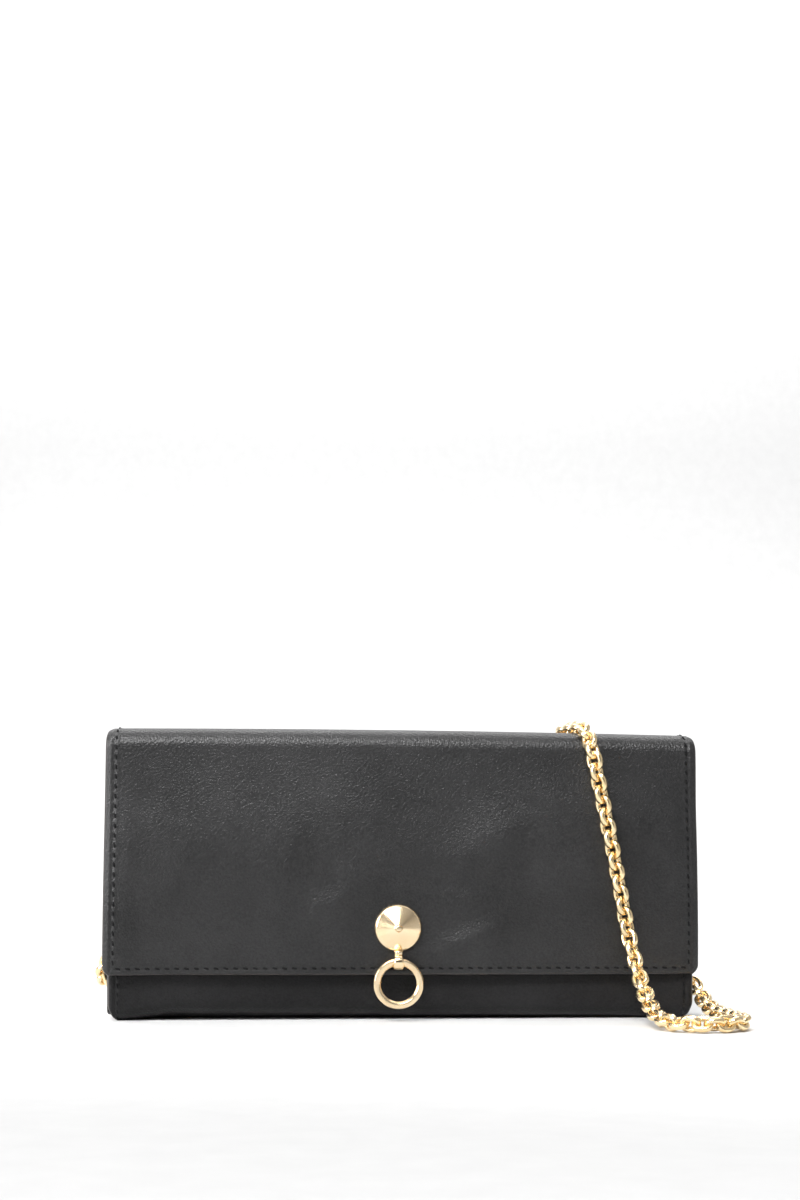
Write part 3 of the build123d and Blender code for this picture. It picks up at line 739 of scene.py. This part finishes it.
def sheet_piece(name, surface, rows, shares, outer, inner, open_ends=()):
    """Closed sheet between two depths with rounded edges. An open end is where the next sheet goes on."""
    share, s = np.meshgrid(shares, rows)
    top, under = surface(share, s, outer), surface(share, s, inner)
    height, width = s.shape
    out = np.zeros_like(top)
    for cut, (edge, next_in) in {"start": (0, 1), "end": (-1, -2)}.items():
        if cut not in open_ends:
            out[edge] += top[edge] - top[next_in]
    out[:, 0] += top[:, 0] - top[:, 1]
    out[:, -1] += top[:, -1] - top[:, -2]
    ring = [(0, c) for c in range(width)] + [(r, width - 1) for r in range(1, height)]
    ring += [(height - 1, c) for c in range(width - 2, -1, -1)] + [(r, 0) for r in range(height - 2, 0, -1)]
    r, c = np.array(ring).T
    size = np.linalg.norm(out[r, c], axis=1)[:, None]
    outward = out[r, c] / np.maximum(size, 1e-9)
    middle, half = (top[r, c] + under[r, c]) / 2, (top[r, c] - under[r, c]) / 2
    reach = np.linalg.norm(half, axis=1)[:, None] * 2 * RIM
    loops = [middle + half * math.cos(a) + outward * reach * math.sin(a) for a in np.radians([36, 90, 144])]
    verts = np.concatenate([top.reshape(-1, 3), under.reshape(-1, 3), *loops])
    index = np.arange(height * width).reshape(height, width)
    cells = np.stack([index[:-1, :-1], index[:-1, 1:], index[1:, 1:], index[1:, :-1]], -1).reshape(-1, 4)
    count = height * width
    rings = [index[r, c]] + [2 * count + k * len(ring) + np.arange(len(ring)) for k in range(3)]
    rings.append(index[r, c] + count)
    rim = []
    for a, b in zip(rings, rings[1:]):
        rim.append(np.stack([a, np.roll(a, -1), np.roll(b, -1), b], -1))
    rim = np.concatenate(rim)
    faces = np.concatenate([cells, cells[:, ::-1] + count, rim])
    piece = new_piece(name, verts, faces)
    piece.data.set_sharp_from_angle(angle=math.radians(55))
    piece["rim_faces"] = len(rim)
    return piece


def stitch_row(name, spot, start, end, pitch=STITCH_PITCH):
    """Thread stitches along a seam. spot(along, aside, height) gives a point beside and above the seam."""
    count = int((end - start) / pitch)
    centres = start + (np.arange(count) + 0.5) * (end - start) / count
    half_length, thickest, lean, rings, sides = 0.98, 0.36, 0.16, 7, 6
    t = np.linspace(-1, 1, rings)[None, :, None]
    a = np.linspace(0, math.tau, sides, endpoint=False)[None, None, :]
    along = centres[:, None, None] + t * half_length
    radius = thickest * np.sqrt(np.clip(1.04 - t ** 4, 0, 1))
    aside = lean * t + radius * np.cos(a)
    height = 0.02 - 0.34 * t ** 4 + radius * np.sin(a)
    shape = (count, rings, sides)
    points = spot(*[np.broadcast_to(v, shape) for v in (along, aside, height)])
    faces = []
    for stitch in range(count):
        faces += tube_faces(rings, sides, stitch * rings * sides)
    return new_piece(name, points.reshape(-1, 3), faces)


def side_spot(surface, half_width, line, side, inset):
    """Seam down one side of a sheet."""

    def spot(along, aside, height):
        z = line(along, 0.0)[1]
        x = side * (half_width(np.clip(z, BODY_CORNER, TOP_Z)) - inset) + aside
        return surface(x / half_width(z), along, -height)

    return spot


def foot_spot(surface):
    """Seam along the flap's foot."""

    def spot(along, aside, height):
        s = FLAP_LENGTH - FOOT_SEAM + aside
        half = flap_half(flap_line(s, 0.0)[1])
        return surface(along / half, s, -height)

    return spot


def joined(name, *pieces):
    """Several meshes as one piece."""
    work = bmesh.new()
    for piece in pieces:
        work.from_mesh(piece.data)
        data = piece.data
        bpy.data.objects.remove(piece)
        bpy.data.meshes.remove(data)
    mesh = bpy.data.meshes.new(name)
    work.to_mesh(mesh)
    work.free()
    piece = bpy.data.objects.new(name, mesh)
    bpy.context.scene.collection.objects.link(piece)
    return piece


def bend_rear(piece):
    start, end = (0, BACK_Y * MM, ARC_Z * MM), (0, REAR_ARC_Y * MM, TOP_Z * MM)
    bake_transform(piece)
    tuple(start)
    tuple(end)


def bend_front(piece):
    start, end = (0, FRONT_ARC_Y * MM, TOP_Z * MM), (0, FLAP_Y * MM, ARC_Z * MM)
    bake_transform(piece)
    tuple(start)
    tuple(end)


def outer_leather(name, section, rows, shares, open_ends, *nodes):
    """Black leather of one section, which is (line, half width, push), and its surface for the stitches."""
    surface = surface_of(*section, RIM * LEATHER)
    leather = sheet_piece(name, surface, rows, shares, 0.0, LEATHER, open_ends)
    finish_sheet(leather, BLACK_LEATHER, "black_leather", *nodes)
    return leather, surface


def inner_lining(name, section, rows, shares, open_ends, *nodes):
    surface = surface_of(*section, LINING_INSET)
    lining = sheet_piece(name, surface, rows, shares, LEATHER + LINING_GAP, LEATHER + LINING, open_ends)
    finish_piece(lining, LINING_LEATHER, "lining_leather", *nodes)
    return lining


def side_stitches(surface, section, inset, start, end, pitch=STITCH_PITCH):
    """Rows of stitches down the left and the right side."""
    line, half_width, _ = section
    spots = [side_spot(surface, half_width, line, side, inset) for side in (-1, 1)]
    return [stitch_row("side_stitches", spot, start, end, pitch) for spot in spots]


def finish_stitches(name, rows):
    thread = joined(name, *rows)
    finish_piece(thread, THREAD, "black_leather")
    return thread


def make_flap():
    """Front half of the top strip, front crease and flap."""
    section = (flap_line, flap_half, flap_push)
    arc_start, arc_end = STRIP_HALF_LENGTH, STRIP_HALF_LENGTH + ARC_LENGTH
    foot_start = FLAP_LENGTH - 5.6
    rows = rows_between((0, arc_start, 1.0), (arc_start, arc_end, 0.6), (arc_end, foot_start, 0.8),
                        (foot_start, FLAP_LENGTH - RIM * LEATHER, 0.34))
    shares = shares_across(FLAP_HALF, LEATHER_MARGIN_STEP, 0.85)
    leather, surface = outer_leather("flap_calf", section, rows, shares, ("start",),
                                     "flap_leather", "top_strip_leather")
    rows = rows_between((0, arc_start, 1.5), (arc_start, arc_end, 0.7), (arc_end, FLAP_LENGTH - 1.2, 1.6))
    shares = shares_across(FLAP_HALF, LINING_MARGIN_STEP, 2.0)
    lining = inner_lining("flap_lining_calf", section, rows, shares, ("start",),
                          "flap_lining", "top_strip_lining")
    stitches = side_stitches(surface, section, SIDE_SEAM, 0.3, FLAP_LENGTH - FOOT_SEAM - 0.4)
    foot_end = FLAP_HALF - SIDE_SEAM - 0.2
    stitches.append(stitch_row("foot_stitches", foot_spot(surface), -foot_end, foot_end))
    for piece in (leather, lining, finish_stitches("flap_stitches", stitches)):
        bend_front(piece)


def make_rear_crease():
    """Upper back wall, rear crease and rear half of the top strip."""
    section = (rear_line, body_half, wall_push)
    rise = ARC_Z - SPLIT_Z
    rows = rows_between((0, rise, 0.9), (rise, rise + ARC_LENGTH, 0.6), (rise + ARC_LENGTH, REAR_LENGTH, 1.0))
    shares = shares_across(BODY_HALF, LEATHER_MARGIN_STEP, 3.0)
    leather, surface = outer_leather("rear_crease_calf", section, rows, shares, ("start", "end"))
    lining = inner_lining("rear_crease_lining", section, rows, shares, ("start", "end"))
    stitches = side_stitches(surface, section, WALL_SEAM, 0.2, REAR_LENGTH)
    for piece in (leather, lining, finish_stitches("rear_crease_stitches", stitches)):
        bend_rear(piece)


def make_body():
    """Front wall, base and back wall. The front of the body gets a darker, less shiny copy of the leather:
    painted shade under the flap.
    """
    section = (trough_line(FRONT_Y, 0.0, BASE_RADIUS, FRONT_WALL_LENGTH, BASE_FLAT), body_half, wall_push)
    flat_start = FRONT_WALL_LENGTH + BASE_ARC_LENGTH
    second = flat_start + BASE_FLAT
    rows = rows_between((RIM * LEATHER, FRONT_WALL_LENGTH, 0.9), (FRONT_WALL_LENGTH, flat_start, 0.45),
                        (flat_start, second, 1.3), (second, second + BASE_ARC_LENGTH, 0.45),
                        (second + BASE_ARC_LENGTH, BODY_LENGTH, 0.9))
    shares = shares_across(BODY_HALF, LEATHER_MARGIN_STEP, 2.4)
    leather, surface = outer_leather("body_calf", section, rows, shares, ("end",), "body_leather")
    leather.data.materials.append(PAINTED_SHADE_LEATHER)
    # Faces at the front of the body take the darker leather copy: painted shade under the flap.
    for polygon in leather.data.polygons:
        if polygon.material_index == 0 and polygon.center.y < (FRONT_Y + BASE_RADIUS) * MM:
            polygon.material_index = 2
    shares = shares_across(BODY_HALF, LINING_MARGIN_STEP, 3.0)
    lining = inner_lining("body_lining_calf", section, rows, shares, ("end",), "body_lining")
    stitches = side_stitches(surface, section, WALL_SEAM, 1.0, BODY_LENGTH, WALL_STITCH_PITCH)
    for piece in (leather, lining, finish_stitches("body_stitches", stitches)):
        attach(piece, "root")


make_flap()
make_rear_crease()
make_body()


# ------------ turned metal
def softened(points, amount):
    """Profile with each inner corner replaced by a short curve."""
    points = [np.array(p, float) for p in points]
    soft = [points[0]]
    for before, corner, after in zip(points, points[1:], points[2:]):
        back, on = before - corner, after - corner
        cut = min(amount, 0.45 * np.linalg.norm(back), 0.45 * np.linalg.norm(on))
        a = corner + back / np.linalg.norm(back) * cut
        b = corner + on / np.linalg.norm(on) * cut
        soft += [(1 - t) ** 2 * a + 2 * t * (1 - t) * corner + t * t * b for t in np.linspace(0, 1, 6)]
    return np.array(soft + [points[-1]])


def turned(name, profile, origin, axis, segments):
    """Solid of revolution from (radius, height) points. The axis is 'x', 'z' or '-y' (out of the front)."""
    profile = np.asarray(profile, float)
    closed = bool(np.allclose(profile[0], profile[-1]))
    if closed:
        profile = profile[:-1]
    a = np.linspace(0, math.tau, segments, endpoint=False)
    radius, height = profile[:, 0][:, None], profile[:, 1][:, None]
    u, v, w = radius * np.cos(a), radius * np.sin(a), np.broadcast_to(height, (len(profile), segments))
    sides = {"-y": (u, -w, v), "z": (u, v, w), "x": (w, u, v)}[axis]
    verts = np.stack(sides, -1).reshape(-1, 3) + np.asarray(origin)
    piece = new_piece(name, verts, tube_faces(len(profile), segments, closed=closed))
    piece.data.set_sharp_from_angle(angle=math.radians(50))
    return piece


def make_stud():
    """Cone with a rounded rim and a small blunt point."""
    radius = (STUD_HIGH[0] - STUD_LOW[0]) / 2
    height = FLAP_Y - STUD_LOW[1]
    cone = [(radius - 0.9, -0.25), (radius - 0.15, 0.0), (radius, 0.55), (radius - 0.5, 1.25),
            (1.15, height - 0.85), (0.95, height - 0.2)]
    point = [(0.93, height - 0.15), (0.7, height), (0.05, height)]
    profile = np.vstack([softened(cone, 0.4), softened(point, 0.2)])
    stud = turned("stud_cone", profile, (SNAP_X, FLAP_Y, SNAP_Z), "-y", 144)
    finish_piece(stud, PALE_GOLD, "gold_metal", "snap_stud")
    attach(stud, "flap")


def make_hanger():
    """Turned post with two beads, a pin into the flap, and an eye across the post for the pull ring."""
    y = (RING_LOW[1] + RING_HIGH[1]) / 2
    top = HANGER_HIGH[2]
    eye_z, eye_radius, eye_taper = RING_HIGH[2] - 1.2, 2.6, 0.16
    post_outline = [(0.05, 0.5), (1.30, 0.5), (1.52, 0.2), (1.52, -0.60), (1.40, -0.80), (1.16, -0.95),
                    (1.16, -1.1), (1.36, -1.3), (1.40, -2.0), (1.22, -2.3), (1.20, -2.7), (0.05, -2.7)]
    post = turned("post", softened(post_outline, 0.16), (SNAP_X, y, top), "z", 64)
    flank = [(2.55, 1.1), (2.2, 1.55), (1.5, 1.58), (1.34, 1.35)]
    mirrored = [(radius, -height) for radius, height in flank]
    eye_outline = mirrored[-1:] + flank[::-1] + [(eye_radius, 0.0)] + mirrored
    eye = turned("eye", softened(eye_outline + [(1.34, -1.3)], 0.15)[:-1], (SNAP_X, y, eye_z), "x", 64)
    # The eye is narrower at its top than at its foot.
    for vertex in eye.data.vertices:
        up = (vertex.co.z / MM - eye_z) / eye_radius
        vertex.co.x = (SNAP_X + (vertex.co.x / MM - SNAP_X) * (1.0 - eye_taper * up)) * MM
    pin_length = FLAP_Y - y - 3.0
    pin_outline = [(0.05, 0), (0.75, 0), (0.75, pin_length), (0.05, pin_length)]
    pin = turned("pin", softened(pin_outline, 0.1), (SNAP_X, y, top - 1.5), "-y", 32)
    hanger = joined("hanger", post, eye, pin)
    finish_piece(hanger, PALE_GOLD, "gold_metal", "ring_hanger")
    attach(hanger, "flap")


def make_pull_ring():
    """Ring with a flat face to the front and the back, rounded outside and bevelled inside."""
    centre = (RING_LOW + RING_HIGH) / 2
    wire = (RING_HIGH[1] - RING_LOW[1]) / 2
    radius = (RING_HIGH[0] - RING_LOW[0]) / 2 - wire
    half = [(-1.0, 0.0), (-1.0, 0.42), (-0.40, 0.96), (0.62, 0.98), (1.0, 0.55), (1.0, 0.0)]
    outline = half + [(u, -v) for u, v in half[-2:0:-1]]
    section = softened(outline + outline[:2], 0.13)[1:-1] * wire
    profile = [(radius + u, v) for u, v in section]
    profile.append(profile[0])
    ring = turned("faceted_ring", profile, centre + [SNAP_X, 0, 0], "-y", 160)
    finish_piece(ring, PALE_GOLD, "gold_metal", "pull_ring")
    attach(ring, "pull_ring")


make_stud()
make_hanger()
make_pull_ring()


# ------------ inside the wallet
SLAB_CORNER = 2.0
GUSSET_CORNER = 3.0
CREASE_LINE_INSET = 2.4
STRAP = 0.75


def make_flat_leather(name, node, facing, wave, hem):
    """Upright sheet in the place of a CAD slab, with rounded top corners, a creased hem and a slight wave."""
    low, high = corners(node)
    half = (high[0] - low[0]) / 2
    face_y = low[1] if facing < 0 else high[1]
    height = high[2] - low[2]
    thickness = high[1] - low[1] - 0.05
    rim = RIM * thickness

    def surface(share, s, depth):
        z = high[2] - s - rim
        x = share * (half - corner_cut(s + rim, SLAB_CORNER) - rim)
        bow = wave * np.sin(x / 23.0 + z / 31.0) * ease(s / 12.0)
        line = bell(s - CREASE_LINE_INSET, 0.35) + bell(half - np.abs(x) - CREASE_LINE_INSET, 0.35)
        raised = hem * ease((2.2 - s) / 0.5)
        inward = -facing * (0.03 + depth)
        outer = facing * (raised - 0.09 * line) * (depth < thickness / 2)
        y = face_y + inward + outer - facing * wave + bow * 0.5
        return np.stack([x, y, z + settle(x, y, z) * 0.5], -1)

    rows = rows_between((0, 3.2, 0.4), (3.2, height - 2 * rim, 2.5))
    panel = sheet_piece(name, surface, rows, shares_across(half, 0.4, 2.5, 3.2), 0.0, thickness)
    finish_sheet(panel, CARD_LEATHER, "card_leather", node)
    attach(panel, "root")


def make_card_panels():
    for node in sorted(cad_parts):
        if "card_panel" in node:
            facing = -1 if node.startswith("back") else 1
            make_flat_leather(node.replace("card_panel", "card_slot"), node, facing, wave=0.02, hem=0.06)


def make_pocket():
    """The coin pocket's two leather walls and its fabric bag."""
    for node, facing in (("zip_pocket_back_leather", 1), ("zip_pocket_front_leather", -1)):
        make_flat_leather(node.replace("zip_pocket", "coin_pocket"), node, facing, wave=0.0, hem=0.0)
    low, high = corners("zip_pocket_lining")
    half = (high[0] - low[0]) / 2
    radius = 1.5
    wall = high[2] - low[2] - radius
    flat = high[1] - low[1] - 2 * radius
    line = trough_line(low[1], low[2], radius, wall, flat)

    def surface(share, s, depth):
        y, z, ny, _ = line(s, depth)
        x = share * (half - 0.3)
        slack = 0.10 * np.sin(x / 7.0 + z / 9.0) * np.cos(x / 19.0) - 0.10
        return np.stack([x, y + ny * slack, z], -1)

    length = 2 * wall + radius * math.pi + flat
    turned_in = wall + radius * math.pi / 2
    rows = rows_between((0, wall, 2.0), (wall, turned_in, 0.4), (turned_in, length - turned_in, 0.6),
                        (length - turned_in, length - wall, 0.4), (length - wall, length, 2.0))
    bag = sheet_piece("coin_pocket_bag", surface, rows, shares_across(half, 0.6, 2.2), 0.02, 0.38)
    finish_piece(bag, POCKET_FABRIC, "pocket_fabric", "zip_pocket_lining")
    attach(bag, "root")


def make_zip_tapes():
    """Woven tapes with a corded edge beside the teeth."""
    for name in ("zip_tape_back", "zip_tape_front"):
        low, high = corners(name)
        half = (high[0] - low[0]) / 2
        inner, outer = sorted((low[1], high[1]), key=lambda y: abs(y - POCKET_MIDDLE_Y))
        reach = abs(outer - inner)
        way = math.copysign(1.0, outer - inner)
        thickness = high[2] - low[2]

        def surface(share, s, depth):
            x = share * (half - 0.15)
            cord = 0.12 * bell(s - 0.45, 0.35)
            swell = np.where(depth < thickness / 2, cord, -cord)
            return np.stack([x, inner + way * (s + 0.1), high[2] - 0.05 - depth + swell], -1)

        rows = rows_between((0, 1.2, 0.15), (1.2, reach - 0.2, 0.6))
        shares = shares_across(half, 0.8, 2.5)
        tape_name = name.replace("zip_tape", "woven_tape")
        tape = sheet_piece(tape_name, surface, rows, shares, 0.0, thickness - 0.1)
        finish_piece(tape, ZIP_TAPE, "zip_tape", name)
        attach(tape, "root")


def folded_line(path, look):
    """Length of a folded sheet's outline, and a function that gives its points and normals."""
    reach = distances(path)

    def line(s):
        tangent = at_distances(path, reach, s + look) - at_distances(path, reach, s - look)
        size = np.maximum(np.hypot(*tangent), 1e-6)
        return *at_distances(path, reach, s), -tangent[1] / size, tangent[0] / size

    return reach[-1], line


def make_gusset(side, node):
    """Side panel folded inwards between the walls, with soft folds, rounded at its foot like the base."""
    low, high = corners(node)
    edge, fold = max(abs(low[0]), abs(high[0])), min(abs(low[0]), abs(high[0])) + 0.4
    thickness, wing = 0.7, edge - 2.6
    back, front = high[1] - 0.05, low[1] + 0.05
    middle_y = (back + front) / 2
    fold_half = 4.0
    rear, fore = back - thickness / 2, front + thickness / 2
    outline = [(edge, rear), (wing, rear), (fold, POCKET_MIDDLE_Y + fold_half),
               (fold, POCKET_MIDDLE_Y - fold_half), (wing, fore), (edge, fore)]
    length, line = folded_line(softened(outline, 3.0), 0.2)
    foot, top = low[2] + 0.1, high[2] - 0.2

    def surface(share, s, depth):
        z = top - s
        x, y, nx, ny = line((share + 1) / 2 * length)
        off = thickness / 2 - depth
        squeeze = 1 - 2 * corner_cut(z - foot, GUSSET_CORNER) / (back - front)
        sink = 0.5 * np.sin(z / 11.0) * bell(np.abs(share) - 0.33, 0.16)
        return np.stack([side * (x + nx * off + sink), middle_y + (y + ny * off - middle_y) * squeeze, z], -1)

    rows = rows_between((0, top - foot - 4, 1.5), (top - foot - 4, top - foot, 0.5))
    name = node.replace("gusset", "side_gusset")
    panel = sheet_piece(name, surface, rows, np.linspace(-1, 1, 61), 0.0, thickness)
    finish_sheet(panel, BLACK_LEATHER, "black_leather", node)
    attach(panel, "root")


def make_ring_tab(side, node, ring_node):
    """Strap folded round the D-ring's bar, on the outside of the gusset."""
    low, high = corners(node)
    ring_low, ring_high = corners(ring_node)
    inner = min(abs(low[0]), abs(high[0])) + 0.02
    outer = inner + 2 * STRAP + 0.03
    bar_x, bar_z = (abs(ring_low[0]) + abs(ring_high[0])) / 2, ring_high[2] - 0.8
    round_bar = 0.9 + STRAP
    half = (high[1] - low[1]) / 2
    middle = (high[1] + low[1]) / 2
    down = [(inner, high[2]), (inner, bar_z + 2.2), (bar_x - round_bar, bar_z)]
    below = [(bar_x - round_bar * math.cos(a), bar_z - round_bar * math.sin(a))
             for a in np.radians(np.arange(30, 181, 25))]
    up = [(bar_x + round_bar, bar_z + 0.6), (outer + 0.45, bar_z + 3.2), (outer, bar_z + 5.0),
          (outer, high[2] - 0.2)]
    length, line = folded_line(softened(down + below + up, 0.8), 0.1)

    def surface(share, s, depth):
        x, z, nx, nz = line(s)
        return np.stack([side * (x + nx * depth), middle + share * (half - 0.3), z + nz * depth], -1)

    rows = rows_between((0.05, length - 0.05, 0.35))
    name = node.replace("ring_tab", "ring_strap")
    tab = sheet_piece(name, surface, rows, np.linspace(-1, 1, 15), 0.0, STRAP)
    finish_sheet(tab, BLACK_LEATHER, "black_leather", node)
    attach(tab, "root")


def finish_cad_metal():
    """Metal parts whose CAD shape stays get their own plating."""
    platings = {
        PALE_GOLD: ("left_d_ring", "right_d_ring", "left_end_ring", "right_end_ring", "hanger_washer"),
        SNAP_GOLD: ("snap_socket", "snap_spring", "snap_ball", "snap_ball_rivet"),
        ZIP_GOLD: ("zip_teeth_back", "zip_teeth_front", "zip_stops", "zip_slider", "zip_puller"),
    }
    for plating, names in platings.items():
        for name in names:
            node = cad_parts[name]
            for material_slot in node.material_slots:
                material_slot.link = "OBJECT"
                material_slot.material = plating
            if not node.material_slots:
                node.data.materials.append(plating)


make_card_panels()
make_pocket()
make_zip_tapes()
for side_name, side in (("left", -1), ("right", 1)):
    make_gusset(side, f"{side_name}_gusset")
    make_ring_tab(side, f"{side_name}_ring_tab", f"{side_name}_d_ring")
finish_cad_metal()


# ------------ studio
# The sweep's profile, in metres.
FLOOR_FRONT, FLOOR_BACK, FLOOR_HALF, SWEEP_RADIUS, SWEEP_TOP = -3.0, 1.1, 4.0, 0.5, 3.0
# Brightness of the surroundings from straight below, at 0, to straight overhead, at 1.
SKY_LEVELS = [(0.0, 0.20), (0.50, 0.07), (0.66, 0.16), (0.80, 0.55), (1.0, 0.85)]


def make_floor():
    """Pale paper sweep: flat floor that curves up behind the wallet."""
    profile = [(FLOOR_FRONT, 0.0), (FLOOR_BACK, 0.0)]
    profile += [(FLOOR_BACK + SWEEP_RADIUS * math.sin(a), SWEEP_RADIUS - SWEEP_RADIUS * math.cos(a))
                for a in np.radians(np.arange(6, 91, 6))]
    profile.append((FLOOR_BACK + SWEEP_RADIUS, SWEEP_TOP))
    verts = [(side * FLOOR_HALF / MM, y / MM, z / MM) for y, z in profile for side in (-1, 1)]
    faces = [(2 * i, 2 * i + 1, 2 * i + 3, 2 * i + 2) for i in range(len(profile) - 1)]
    floor = new_piece("studio_floor", verts, faces)
    floor.data.materials.append(floor_material())


def make_light(name, place, aim, size, power, spread=180):
    data = bpy.data.lights.new(name, "AREA")
    data.shape = "RECTANGLE"
    data.size, data.size_y = size
    data.energy = power
    data.spread = math.radians(spread)
    light = bpy.data.objects.new(name, data)
    light.location = place
    light.visible_camera = False
    light.rotation_mode = "QUATERNION"
    light.rotation_quaternion = (Vector(aim) - Vector(place)).to_track_quat("-Z", "Y")
    bpy.context.scene.collection.objects.link(light)


def make_world():
    """Surroundings that are dark at the horizon and bright overhead, with a bright tent on either side."""
    world = bpy.data.worlds.new("studio")
    bpy.context.scene.world = world
    n = Nodes(world, "Background", "Generated")
    split = n.add("ShaderNodeSeparateXYZ")
    n.link(n.where, split.inputs["Vector"])
    height = n.span(split.outputs["Z"], 0.0, 1.0, start=-1.0)
    sky = n.ramp(height, [(place, (level, level, level)) for place, level in SKY_LEVELS])
    sideways = n.calculated("ABSOLUTE", split.outputs["X"])
    tents = n.span(sideways, 0.0, 0.75, start=0.50, end=0.80)
    n.link(n.calculated("MAXIMUM", sky, tents), n.shader.inputs["Color"])
    n.set(Strength=0.75)


make_floor()
make_world()
make_light("overhead", (0.0, 0.10, 0.9), (0.0, 0.0, 0.03), (1.2, 0.6), 2.8)
make_light("key", (-0.20, -0.34, 0.42), (-0.06, 0.0, 0.090), (0.6, 0.12), 0.72, 50)
make_light("left_fill", (-0.60, -0.30, 0.22), (0.0, 0.0, 0.06), (0.30, 0.34), 0.5, 60)
make_light("foreground", (0.0, -0.50, 0.8), (0.0, -0.50, 0.0), (1.2, 0.3), 1.1, 50)
make_light("backdrop", (0.0, 0.9, 1.6), (0.0, 1.6, 0.3), (2.4, 0.5), 42.0)
bpy.context.scene.view_settings.view_transform = "Standard"
